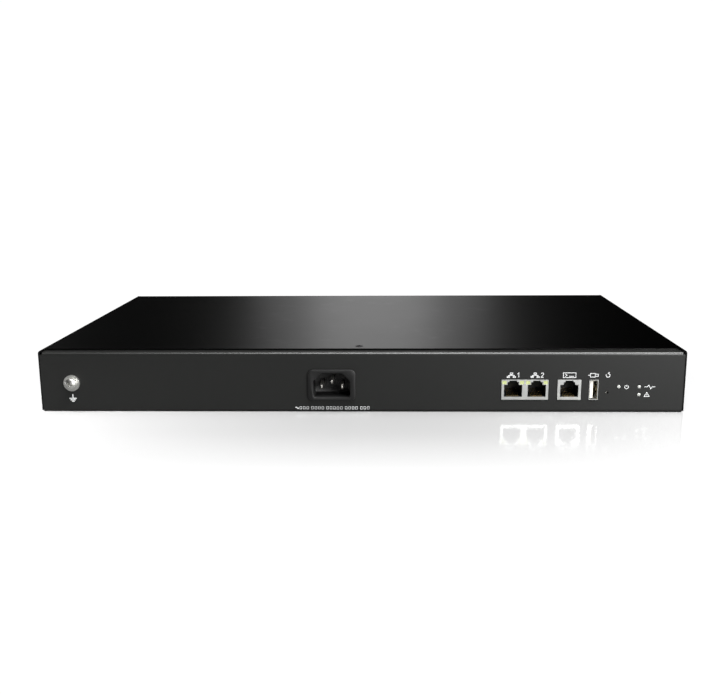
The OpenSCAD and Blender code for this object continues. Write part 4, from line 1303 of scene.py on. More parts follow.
    def small_parts(self) -> None:
        """Rows of chip resistors and capacitors around the packages, and three crystals."""
        parts = Piece("ceramic_tan", "solder", "package_black")
        packages = solids("board_chips") + solids("board_inductors") + solids("processor")
        for host in (b for b in packages if b.size.x > 7):
            for out in (X, -X, Y, -Y):
                along = Vector((abs(out.y), abs(out.x), 0))
                reach = (host.size.x if out.x else host.size.y) / 2 + 3.4
                half = (host.size.y if out.x else host.size.x) / 2
                for row in range(2):
                    for k in range(int(half * 2 / 2.6) + 1):
                        if self.rng.random() < 0.3:
                            continue
                        spot = host.centre + out * (reach + row * 2.4) + along * (-half + k * 2.6)
                        if self.free(spot.x, spot.y, 1.0):
                            self.chip_part(parts, spot, out, self.rng.choice((0, 0, 2)))
        for _ in range(900):
            x = self.rng.uniform(self.board.low.x, self.board.high.x)
            y = self.rng.uniform(self.board.low.y, self.board.high.y)
            x, y = round(x / 2.54) * 2.54, round(y / 2.54) * 2.54
            if self.free(x, y, 1.1) and self.rng.random() < 0.28:
                self.chip_part(parts, Vector((x, y, 0)), self.rng.choice((X, Y)), self.rng.choice((0, 2)))
        parts.build("chip_parts")
        crystals = Piece("bright_steel")
        for spot in ((90, -84), (164, -28), (52, -8)):
            if self.free(*spot, 3):
                ends = arc((2.6, 0, 0), 1.6, X, Y, -90, 90, 8) + arc((-2.6, 0, 0), 1.6, X, Y, 90, 270, 8)
                outline = [p.xy for p in ends]
                crystals.prism(outline, Matrix.Translation((*spot, self.top + 0.2)), 2.6)
                wide = [(x * 1.12, y * 1.2) for x, y in outline]
                crystals.prism(wide, Matrix.Translation((*spot, self.top + 0.02)), 0.5)
        crystals.build("crystals", bevel=0.25)

    def chip_part(self, parts: Piece, spot: Vector, out: Vector, finish: int) -> None:
        """Adds one chip resistor or capacitor with its plated ends."""
        l, w, h = 0.95, 0.45, 0.5 if finish == 2 else 0.75
        across = Vector((abs(out.y), abs(out.x), 0))
        way = Vector((abs(out.x), abs(out.y), 0))
        for a, b, f, grow in ((-0.62, 0.62, finish, 0.0), (-1, -0.6, 1, 0.03), (0.6, 1, 1, 0.03)):
            low = spot + way * l * a - across * (w + grow)
            high = spot + way * l * b + across * (w + grow)
            foot = self.top + 0.02 - grow * 0.5
            parts.block((low.x, low.y, foot), (high.x, high.y, self.top + h + grow), f)
        self.placed.append(Box(spot - Vector((1.1, 1.1, 0)), spot + Vector((1.1, 1.1, 0))))

    def tracks(self) -> None:
        """Bundles of tracks that run in parallel between the parts, and the rings of their through holes."""
        copper = Piece("trace_green")
        pads = Piece("solder")
        runs = [
            ((106, -98), (100, -60), 8, 0.55), ((120, -98), (122, -60), 8, 0.55),
            ((142, -98), (134, -60), 6, 0.6), ((158, -98), (150, -70), 3, 0.7),
            ((142, -40), (166, -60), 9, 0.5), ((142, -24), (166, -36), 9, 0.5),
            ((142, -10), (170, -8), 7, 0.6), ((92, 4), (90, 24), 14, 0.55),
            ((112, 4), (110, 24), 16, 0.55), ((132, 4), (134, 24), 14, 0.55),
            ((70, -70), (82, -40), 7, 0.6), ((67, -30), (80, -26), 6, 0.6),
            ((30, 18), (56, 16), 4, 1.6), ((28, 34), (28, 50), 3, 2.4),
            ((72, 28), (76, 44), 6, 0.6), ((178, -52), (178, -44), 10, 0.7),
            ((176, -100), (188, -92), 3, 1.0), ((182, 4), (182, 16), 6, 0.7),
            ((40, -74), (52, -66), 4, 0.8), ((24, -20), (50, -32), 5, 0.8),
        ]
        for (x0, y0), (x1, y1), count, pitch in runs:
            upright = abs(y1 - y0) > abs(x1 - x0)
            for k in range(count):
                shift = (k - (count - 1) / 2) * pitch
                skew = math.copysign(shift, -(x1 - x0) * (y1 - y0)) * 0.4
                if upright:
                    bend = abs(x1 - x0)
                    mid = (y0 + y1) / 2 + skew
                    half = math.copysign(bend / 2, y1 - y0)
                    near, far = x0 + shift, x1 + shift
                    path = [(near, y0), (near, mid - half), (far, mid + half), (far, y1)]
                else:
                    bend = abs(y1 - y0)
                    mid = (x0 + x1) / 2 + skew
                    half = math.copysign(bend / 2, x1 - x0)
                    near, far = y0 + shift, y1 + shift
                    path = [(x0, near), (mid - half, near), (mid + half, far), (x1, far)]
                if bend < 0.2:
                    path = [path[0], path[3]]
                copper.ribbon(path, self.track, self.plane, self.film)
        copper.build("board_tracks")
        for b in solids("board_screws"):
            if self.board.low.x < b.centre.x < self.board.high.x:
                self.ring(pads, b.centre.x, b.centre.y, 3.6, 1.7)
        for _ in range(420):
            x = self.rng.uniform(self.board.low.x, self.board.high.x)
            y = self.rng.uniform(self.board.low.y, self.board.high.y)
            if self.free(x, y, 0.5):
                self.ring(pads, x, y, 0.42, 0.18, 10)
        pads.build("board_pads")

    def ring(self, pads: Piece, x: float, y: float, outer: float, inner: float, steps: int = 28) -> None:
        """Adds a flat plated ring on the board."""
        rings = []
        for r, z in ((outer, 0), (outer, self.film), (inner, self.film), (inner, 0)):
            rings.append([(x + r * math.cos(a), y + r * math.sin(a), self.top + z) for a in turns(steps)])
        pads.loft(rings, closed=True)

    def silk(self) -> None:
        """White outlines around the parts, with bars in place of their names."""
        piece = Piece("silk_white")
        nodes = ("board_chips", "board_inductors", "magnetics", "board_headers")
        for b in [b for node in nodes for b in solids(node)]:
            c, w, d = b.centre, b.size.x / 2 + 1.9, b.size.y / 2 + 1.9
            outline = rectangle(c.x, c.y, w, d)[:3] + [(c.x - w + 1, c.y + d), (c.x - w, c.y + d - 1)]
            piece.ribbon(outline, 0.18, self.plane, self.film, closed=True)
            for k in range(3):
                x = c.x - w + 0.6 + k * 1.1
                piece.ribbon([(x, c.y + d + 0.5), (x, c.y + d + 1.4)], 0.6, self.plane, self.film)
        for b in solids("board_capacitors"):
            circle = [p.xy for p in arc((b.centre.x, b.centre.y, 0), b.size.x / 2 + 0.7, X, Y, 0, 348, 29)]
            piece.ribbon(circle, 0.2, self.plane, self.film, closed=True)
        piece.build("board_print")

    def cooler(self) -> None:
        """The heatsink's two pins, each a barbed post in a coil spring."""
        posts = Piece("white_nylon")
        coils = Piece("bright_steel")
        base = box("processor_heatsink").low.z + 3.5
        for b in solids("heatsink_pins"):
            x, y = b.centre.x, b.centre.y
            head = b.high.z
            barb = [(0.5, b.low.z), (1.5, b.low.z + 0.8), (1.45, b.low.z + 1.4)]
            cap = [(1.45, head - 1.7), (3.1, head - 1.6), (3.2, head - 0.5), (2.6, head)]
            posts.lathe(barb + cap, Matrix.Translation((x, y, 0)), 28)
            rounds, steps = 5, 16
            low, high = base + 0.4, head - 2.1
            path = []
            for i in range(rounds * steps + 1):
                t = i / (rounds * steps)
                a = 2 * math.pi * rounds * t
                path.append((x + 2.35 * math.cos(a), y + 2.35 * math.sin(a), low + (high - low) * t))
            coils.sweep(path, 0.3, 8)
        posts.build("heatsink_posts", replaces=["heatsink_pins"])
        coils.build("heatsink_coils")

    def memory(self) -> None:
        """The memory module's chips, its gold fingers and the socket's latches."""
        b = box("memory_module")
        top = b.low.z + 1
        chips = Piece("package_black", "mark_grey")
        for k in range(4):
            x = b.centre.x + (k - 1.5) * 16
            chips.block((x - 5.1, b.low.y + 9.9, top), (x + 5.1, b.low.y + 23.1, b.high.z + 0.05))
            for j in range(2):
                y, z = b.low.y + 14 + 3 * j, b.high.z
                chips.block((x - 3.4, y, z + 0.02), (x + 3.4 - 2 * j, y + 1, z + 0.06), 1)
        chips.build("memory_chips", bevel=0.1)
        fingers = Piece("gold_contact")
        count = 60
        for k in range(count):
            x = b.low.x + 2 + (b.size.x - 4) * k / (count - 1)
            if abs(x - b.centre.x + 6) > 1.2:
                fingers.block((x - 0.28, b.low.y + 3.2, top - 0.01), (x + 0.28, b.low.y + 5.4, top + 0.035))
        fingers.build("memory_fingers")
        latches = Piece("bright_steel")
        socket = box("memory_socket")
        for s in (-1, 1):
            x = socket.centre.x + s * (socket.size.x / 2 - 1.2)
            y, z = socket.high.y, socket.low.z
            latches.block((x - 0.25, y - 20, z + 2), (x + 0.25, y - 1, z + 5.2))
            near, far = sorted((x, x - s * 1.8))
            latches.block((near, y - 8, z + 5.2), (far, y - 3, z + 5.7))
        latches.build("memory_latches", bevel=0.12)

    def cell(self) -> None:
        """The coin cell with a rolled edge, under a sprung strap."""
        b = box("coin_cell")
        c, r = b.centre, b.size.x / 2
        piece = Piece("cell_steel")
        low, high = b.low.z, b.high.z
        rim = [(r - 1.2, low), (r - 0.4, low + 0.2), (r - 0.3, low + 0.6), (r, low + 0.9)]
        piece.lathe([*rim, (r, high - 0.4), (r - 0.4, high)], Matrix.Translation((c.x, c.y, 0)), 56)
        for half in ((2.5, 0.4), (0.4, 2.5)):
            piece.post(c.x, c.y, half, high - 0.05, high + 0.06)
        piece.build("coin_cell_can", replaces=["coin_cell"])
        strap = Piece("bright_steel")
        z = box("coin_cell_holder").high.z
        spots = ((r + 1.4, -3), (r + 1.3, 0.2), (r - 1, 0.5), (r * 0.35, 0.15))
        path = [(c.x, c.y + y, z + up) for y, up in spots]
        strap.sweep(curve(path), 2.2, sides=12, flat=0.1)
        strap.build("coin_cell_strap")

    def headers(self) -> None:
        """Square pins in the headers."""
        piece = Piece("solder")
        for b in solids("board_headers"):
            n = 2 if b.size.x > 8 else 1
            for i in range(n):
                for k in range(2 if n > 1 else 3):
                    x = b.centre.x + (i - (n - 1) / 2) * 3.6 + (0 if n > 1 else 1)
                    y = b.centre.y + ((k - 0.5) * 3.6 if n > 1 else (k - 1) * 2.2)
                    piece.post(x, y, (0.32, 0.32), self.top - 3.2, self.top + 4)
        piece.build("header_pins", bevel=0.08)

    def make(self) -> None:
        """Makes everything on the board."""
        self.chips()
        self.cans()
        self.inductors()
        self.magnetics()
        self.small_parts()
        self.tracks()
        self.silk()
        self.cooler()
        self.memory()
        self.cell()
        self.headers()


@dataclass
class Cans:
    """Electrolytic capacitors in place of a frame node's plain cylinders."""

    node: str
    name: str
    floor: float
    neck: float = 1.6
    steps: int = 36

    def make(self) -> None:
        """Turns each can and adds its stripe and its scored top."""
        cans = Piece("can_sleeve", "can_stripe")
        tops = Piece("can_top", "package_black")
        for b in solids(self.node):
            if abs(b.size.x - b.size.y) > 0.3:
                continue
            r, h = b.size.x / 2, b.size.z
            place = Matrix.Translation((b.centre.x, b.centre.y, self.floor))
            neck = self.neck
            shape = (
                (0.9, 0.05), (0.985, 0.3), (0.985, neck - 0.4), (0.92, neck), (0.985, neck + 0.5),
                (0.99, h - 0.8), (0.95, h - 0.2), (0.86, h - 0.05), (0.84, h - 0.25),
            )
            cans.lathe([(r * share, z) for share, z in shape], place, self.steps, stripe=range(3, 8))
            tops.lathe([(r * 0.85, h - 0.3), (r * 0.85, h - 0.12), (r * 0.8, h - 0.08)], place, self.steps)
            for turn in (0, 90):
                arm = place @ Matrix.Rotation(math.radians(turn), 4, "Z")
                score = rectangle(0, 0, r * 0.6, 0.12)
                tops.prism(score, arm @ Matrix.Translation((0, 0, h - 0.1)), 0.04, 1)
        cans.build(self.name, replaces=[self.node], smooth=40)
        tops.build(self.name + "_tops")


@dataclass
class PowerSupply:
    """The power supply board's components."""

    def __post_init__(self) -> None:
        """Finds the board."""
        self.board = box("psu_board")
        self.top = self.board.high.z

    def film_caps(self) -> None:
        """Box-shaped film capacitors, with bars in place of their ratings."""
        piece = Piece("film_yellow", "mark_grey")
        for b in solids("psu_capacitors"):
            if abs(b.size.x - b.size.y) <= 0.3:
                continue
            low, high = b.low, b.high
            piece.block(low, high)
            for k in range(3):
                z = high.z - 3.2 - 2.6 * k
                piece.block((low.x + 2, low.y - 0.02, z), (high.x - 3 - 2 * k, low.y + 0.1, z + 1.1), 1)
            for k in range(2):
                y = b.centre.y + 0.6 - 1.9 * k
                piece.block((low.x + 2, y, high.z - 0.1), (high.x - 4 - 2 * k, y + 0.8, high.z + 0.02), 1)
        piece.build("film_capacitors", bevel=0.5)

    def transformer(self) -> None:
        """A ferrite core around a bobbin, with taped windings and a row of pins on each side."""
        b = box("psu_transformer")
        c, z = b.centre, b.low.z
        piece = Piece("transformer_tape", "ferrite", "black_nylon", "solder", "copper_wire")
        piece.post(c.x, c.y, (13, 11), z + 0.6, z + 4, 2)
        piece.post(c.x, c.y, (10.3, 13), z + 20.4, z + 21.2, 2)
        rings = []
        windings = ((4.6, 9.4, 12.6), (5.2, 10, 13.5), (12, 10.4, 13.9), (19, 10, 13.5), (19.8, 9.4, 12.8))
        for up, w, d in windings:
            rings.append([(x, y, z + up) for x, y in squircle(c.x, c.y, w, d, (0.35, 0.35), 40)])
        piece.loft(rings)
        for side in (-1, 1):
            near, far = sorted((c.x + side * 15, c.x + side * 10.8))
            piece.block((near, c.y - 5, z + 3), (far, c.y + 5, z + 24), 1)
        piece.block((c.x - 15, c.y - 5, z + 21.2), (c.x + 15, c.y + 5, z + 24), 1)
        for side in (-1, 1):
            for k in range(5):
                shift = (k - 2) * 5
                piece.post(c.x + shift, c.y + side * 10.2, (0.4, 0.4), z - 3.4, z + 1, 3)
                spots = ((1, 11.2, 2), (1, 11.9, 4), (0.3, 12.6, 7))
                lead = [(c.x + shift * share, c.y + side * y, z + up) for share, y, up in spots]
                piece.sweep(curve(lead, 3), 0.3, 6, 4)
        piece.build("power_transformer", replaces=["psu_transformer"], bevel=0.3)

    def heatsinks(self) -> None:
        """Folded plates, each with two transistors screwed to it."""
        plates = Piece("fin_aluminium")
        parts = Piece("package_black", "solder", "mark_grey")
        middle = self.board.centre.x
        for b in solids("psu_heatsinks"):
            left = b.centre.x < middle
            plate_x = b.low.x + 6 if left else b.low.x + 4.6
            face = plate_x + 2 if left else plate_x
            out = 1 if left else -1
            plates.block((plate_x, b.low.y, self.top), (plate_x + 2, b.high.y, b.high.z))
            flange = (plate_x - 6, plate_x) if left else (plate_x + 2, plate_x + 8)
            plates.block((flange[0], b.low.y, b.high.z - 2), (flange[1], b.high.y, b.high.z))
            for y in (6, 26):
                y0 = b.low.y + y
                near, far = sorted((face, face + out * 1.3))
                parts.block((near, y0, self.top + 2.2), (far, y0 + 10.2, self.top + 17), 1)
                near, far = sorted((face + out * 1.0, face + out * 4.5))
                parts.block((near, y0, self.top + 2.2), (far, y0 + 10.2, self.top + 11))
                at = (face + out * 1.2, y0 + 5.1, self.top + 14.2)
                parts.lathe([(2.9, 0), (2.9, 1.2), (2.3, 2.0), (0.8, 2.2)], facing(at, X * out), 24, 1)
                for k in (-1, 0, 1):
                    y = y0 + 5.1 + 2.54 * k
                    parts.post(face + out * 2.6, y, (0.3, 0.35), self.top - 2.6, self.top + 2.3, 1)
                for k in range(2):
                    x, z = face + out * 4.5, self.top + 8 - 2.4 * k
                    parts.block((x - 0.05, y0 + 2, z), (x + 0.05, y0 + 8 - 2 * k, z + 1), 2)
        plates.build("transistor_plates", replaces=["psu_heatsinks"], bevel=0.25)
        parts.build("power_transistors", bevel=0.12)

    def chokes(self) -> None:
        """Ring cores wound with enamelled wire."""
        cores = Piece("toroid_green")
        wires = Piece("copper_wire")
        for b in solids("psu_chokes"):
            thin = min(range(3), key=lambda i: b.size[i])
            axis = (X, Y, Z)[thin]
            place = facing(b.centre, axis)
            tube = b.size[thin] / 2
            outer = max(b.size) / 2
            mid = outer - tube
            gauge = 0.5
            core = tube - 2 * gauge
            rings = []
            for a in turns(48):
                section = [(mid + core * math.cos(q), core * math.sin(q)) for q in turns(14)]
                rings.append([place @ Vector((r * math.cos(a), r * math.sin(a), z)) for r, z in section])
            cores.loft(rings, closed=True)
            rounds, wound = 13, core + gauge
            for half in (0, 1):
                path = []
                for i in range(rounds * 12 + 1):
                    t = i / (rounds * 12)
                    a = math.radians(half * 180 + 18 + 144 * t)
                    q = 2 * math.pi * rounds * t
                    r = mid + wound * math.cos(q)
                    path.append(place @ Vector((r * math.cos(a), r * math.sin(a), wound * math.sin(q))))
                wires.sweep(path, gauge * 0.95, 6)
        cores.build("choke_cores", replaces=["psu_chokes"])
        wires.build("choke_windings")

    def fuse(self) -> None:
        """A glass fuse in its clips."""
        b = box("psu_fuse")
        c = b.centre
        axis_z = self.top + 4
        half = b.size.x / 2
        glass = Piece("fuse_glass")
        glass.lathe([(2.45, -half * 0.55), (2.45, half * 0.55)], facing((c.x, c.y, axis_z), X), 28)
        glass.build("fuse_tube")
        piece = Piece("bright_steel", "copper_wire")
        piece.sweep([(c.x - half, c.y, axis_z), (c.x + half, c.y, axis_z)], 0.12, 6, 1)
        for s in (-1, 1):
            cap = [(2.2, half * 0.5), (2.6, half * 0.52), (2.6, half * 0.96), (2.3, half)]
            piece.lathe(cap, facing((c.x, c.y, axis_z), X * s), 28)
            for side in (-1, 1):
                x = c.x + s * half * 0.75
                spots = ((1.4, -3.7), (2.4, -3.2), (2.75, 0), (2.2, 2.2), (2.7, 3.1))
                path = [(x, c.y + side * away, axis_z + up) for away, up in spots]
                piece.sweep(curve(path, 4), 1.6, 8, flat=0.14)
        piece.build("fuse_clips", replaces=["psu_fuse"])

    def axial_parts(self) -> None:
        """Banded resistors, diodes and disc capacitors that fill the board."""
        piece = Piece("ceramic_tan", "package_black", "solder", "mark_grey", "disc_blue")
        x0, y0 = self.board.low.x, self.board.low.y
        spots = [
            (54, 34, 0, 0), (62, 15, 1, 1), (66, 15, 1, 1), (33, 66, 1, 0), (37, 66, 1, 0), (20, 108, 0, 0),
            (20, 112, 0, 1), (54, 112, 0, 1), (30, 104, 0, 0), (48, 96, 1, 0), (14, 52, 1, 0), (30, 53, 0, 1),
        ]
        for dx, dy, upright, kind in spots:
            along = Y if upright else X
            at = Vector((x0 + dx, y0 + dy, self.top + 1.5))
            l, r = (3.4, 1.25) if kind == 0 else (2.4, 1.3)
            profile = [(r, -l), (r, l)]
            if kind == 0:
                end = [(r * 0.86, l - 1.5), (r, l - 1.2), (r, l - 0.4), (r * 0.6, l)]
                profile = [(q, -z) for q, z in reversed(end)] + end
            piece.lathe(profile, facing(at, along), 20, kind)
            bands = (-1.1, -0.1, 0.9) if kind == 0 else (1.5,)
            for shift in bands:
                big = r * (0.88 if kind == 0 else 1.01)
                piece.lathe([(big, shift - 0.25), (big, shift + 0.25)], facing(at, along), 20, 3)
            for s in (-1, 1):
                bends = ((-0.2, 0), (0.8, 0), (1.2, 0.5), (1.2, 1.6))
                leg = [at + along * s * (l + reach) - Z * drop for reach, drop in bends]
                piece.sweep(curve(leg, 3), 0.3, 6, 2)
        for dx, dy in ((56, 42), (44, 106), (12, 62)):
            at = Vector((x0 + dx, y0 + dy, self.top + 5.6))
            profile = [(1.2, -1.5), (3.6, -1.2), (4.2, -0.4), (4.2, 0.4), (3.6, 1.2), (1.2, 1.5)]
            piece.lathe(profile, facing(at, Y), 28, 4)
            for s in (-2.5, 2.5):
                piece.sweep([at + X * s - Z * 2.6, at + X * s - Z * 5.6], 0.3, 6, 2)
        piece.build("supply_small_parts")

    def silk(self) -> None:
        """White outlines on the supply's board."""
        piece = Piece("silk_white")
        plane = Matrix.Translation((0, 0, self.top))
        nodes = ("psu_transformer", "psu_terminals", "psu_fuse")
        for b in [b for node in nodes for b in solids(node)]:
            outline = rectangle(b.centre.x, b.centre.y, b.size.x / 2 + 1, b.size.y / 2 + 1)
            piece.ribbon(outline, 0.25, plane, 0.03, closed=True)
        piece.build("supply_print")

    def make(self) -> None:
        """Makes everything on the supply's board."""
        Cans("psu_capacitors", "supply_cans", self.top).make()
        self.film_caps()
        self.transformer()
        self.heatsinks()
        self.chokes()
        self.fuse()
        self.axial_parts()
        self.silk()


@dataclass
class Fan:
    """One fan's rotor, with a turned hub and curved blades, and the plate on its motor."""

    node: str
    name: str
    body: Body
    blades: int = 7
    pitch: float = 40.0
    thick: float = 1.0

    def rotor(self) -> None:
        """The hub with a rounded nose, and the blades, which twist from root to tip."""
        b = box(self.node)
        inner, mid = b.low.x + 1.9, b.centre
        hub_r, tip_r = 10.8, min(b.size.y, b.size.z) / 2
        depth = b.high.x - inner
        piece = Piece("fan_plastic")
        place = facing((inner, mid.y, mid.z), X)
        nose = [(hub_r, depth - 2), (hub_r - 0.6, depth - 0.7), (hub_r - 1.8, depth), (2, depth)]
        piece.lathe([(hub_r - 1.4, 0), (hub_r, 0), *nose], place, 48)
        piece.lathe([(1.5, -1.8), (1.5, depth - 1)], place, 20)
        length = depth - 1.4
        for k in range(self.blades):
            start = 2 * math.pi * k / self.blades
            rings = []
            for i in range(6):
                t = i / 5
                r = hub_r - 0.5 + (tip_r - hub_r + 0.5) * t
                swing = math.radians(self.pitch * (1.15 - 0.35 * t))
                chord = []
                for j in range(7):
                    s = j / 6 - 0.5
                    along = length * s
                    a = start + math.tan(swing) * along * 0.62 / r + 0.18 * t + 0.12 * (s * s)
                    chord.append((a, length / 2 + 0.4 + along))
                half = self.thick / 2 / r
                outline = [(a + half, z) for a, z in chord] + [(a - half, z) for a, z in reversed(chord)]
                rings.append([place @ Vector((r * math.cos(a), r * math.sin(a), z)) for a, z in outline])
            piece.loft(rings)
        piece.build(self.name + "_rotor", self.body, replaces=[self.node], smooth=45)

    def label(self) -> None:
        """A plain round label on the rotor's nose, with a ring and bars."""
        b = box(self.node)
        piece = Piece("mark_grey", "fan_plastic")
        place = facing((b.high.x, b.centre.y, b.centre.z), X)
        piece.lathe([(7.6, -0.02), (7.6, 0.05)], place, 40)
        face = place @ Matrix.Translation((0, 0, 0.05))
        for k in range(3):
            piece.prism(rectangle(0, 2.45 - 2.2 * k, 4.4 - 0.9 * k, 0.45), face, 0.02, 1)
        piece.build(self.name + "_label", self.body)


@dataclass
class Harness:
    """The wires between the fans, the two boards and their plugs."""

    lead_r: float = 0.75
    wire_r: float = 1.0
    lead_z: float = 2.4
    lane: float = 2.0
    bend: float = 6.0

    def fan_leads(self) -> None:
        """Both fans' leads, side by side along the floor and up to their headers."""
        piece = Piece("wire_red", "wire_black")
        fans = [box("fan_front_frame"), box("fan_rear_frame")]
        heads = sorted((b for b in solids("board_headers") if b.size.x < 8), key=lambda b: -b.centre.y)
        for i, fan in enumerate(fans):
            for k in (0, 1):
                lane = self.lane * (2 * i + k)
                head = heads[1 - i].centre
                px, py = head.x + 1, head.y - 1.1 + 2.2 * k
                x1 = -10 + self.bend + lane
                r = 8 - x1
                centre = (-184 - 2 * self.lane * i, fan.centre.y + 14, self.lead_z)
                path = [(fan.high.x, fan.centre.y + 8 + self.lane * k, self.lead_z)]
                path += arc(centre, self.bend - self.lane * k, X, Y, -90, 0)
                path += arc((-172, 74, self.lead_z), self.bend + lane, X, Y, 180, 90)
                path += arc((-10, 74, self.lead_z), self.bend + lane, X, Y, 90, 0)
                path += [
                    (x1, py + 20, self.lead_z), (x1, py + r, 3), (8 - 0.7 * r, py + 0.3 * r, 5), (8, py, 9),
                    (12, py, 15), (16, py, 21),
                ]
                path += arc((px - 4, py, 19.5), 4, X, Z, 90, 0)
                path.append((px, py, 17.2))
                piece.sweep(curve(path), self.lead_r, 8, k)
        piece.build("fan_wires", replaces=["fan_leads"])

    def supply_wires(self) -> None:
        """Four wires that sag together from the supply's plug to the board's plug, tied in one place."""
        piece = Piece("wire_red", "wire_black", "wire_gold")
        head = max(solids("board_headers"), key=lambda b: b.size.x).centre
        out = solids("psu_terminals")[1]
        x0, y_mid, plug_top = out.centre.x + 1.5, out.centre.y, 21
        for i in (0, 1):
            for k in (0, 1):
                x, y = head.x - 1.8 + 3.6 * i, head.y - 1.8 + 3.6 * k
                y0 = y_mid - 4.5 + 3 * (2 * i + k)
                path = [Vector((x0, y0, plug_top))]
                path += arc((x0 + 4 + 3 * i, y0, 24), 4 + 3 * i, X, Z, 180, 90)
                sag = ((-62, 42, 19), (-40, 40, 12), (-18, 36, 13), (2, 29, 25))
                path += [Vector(p) + 2.6 * Vector((0, k, i)) for p in sag]
                path += arc((head.x - 5.8, y, 28), 4 + 3.6 * i, X, Z, 90, 0)
                path.append(Vector((x, y, 23)))
                piece.sweep(curve(path), self.wire_r, 10, (0, 1, 1, 2)[2 * i + k])
        piece.build("supply_wires", replaces=["dc_wires"])
        ties = Piece("white_nylon")
        for x, y, z in ((-40, 41.3, 13.3), (-18, 37.3, 14.3)):
            w, h, r = 2.9, 2.9, 1.2
            loop = []
            for k, (across, up) in enumerate(((1, 1), (-1, 1), (-1, -1), (1, -1))):
                corner = (x, y + across * (w - r), z + up * (h - r))
                loop += arc(corner, r, Y, Z, 90 * k, 90 * k + 90, 4)
            ties.sweep(loop, 1.3, 8, closed=True, flat=0.3)
            ties.block((x - 2, y - 1.6, z + h - 0.2), (x + 2, y + 1.6, z + h + 2.4))
        ties.build("cable_ties", bevel=0.1)

    def plugs(self) -> None:
        """Ribbed plug housings, each with a latch."""
        piece = Piece("white_nylon", "solder")
        for b in solids("board_plugs"):
            piece.block(b.low, b.high)
            c = b.centre
            tall = b.high.z - 2.2
            piece.block((c.x - 1.4, b.low.y - 0.05, tall - 4), (c.x + 1.4, b.low.y + 0.4, tall))
            for k in (-1, 1):
                piece.post(c.x + k * 0.9, b.high.y - 0.125, (0.25, 0.175), b.low.z + 3, tall)
        piece.build("plug_housings", replaces=["board_plugs"], bevel=0.3)

    def make(self) -> None:
        """Makes the wires and the plugs."""
        self.fan_leads()
        self.supply_wires()
        self.plugs()


# ---------------------------------------------------------------- studio


class Reach(Enum):
    """What a lamp shines on."""

    OBJECT = "object"
    ALL_BUT_COVER = "all_but_cover"
    METAL = "metal"
    FLOOR = "floor"


@dataclass
class Softbox:
    """A rectangular lamp that shines only on what it is meant to reach."""

    name: str
    at: Point
    aim: Point
    width: float
    height: float
    power: float
    reach: Reach = Reach.OBJECT


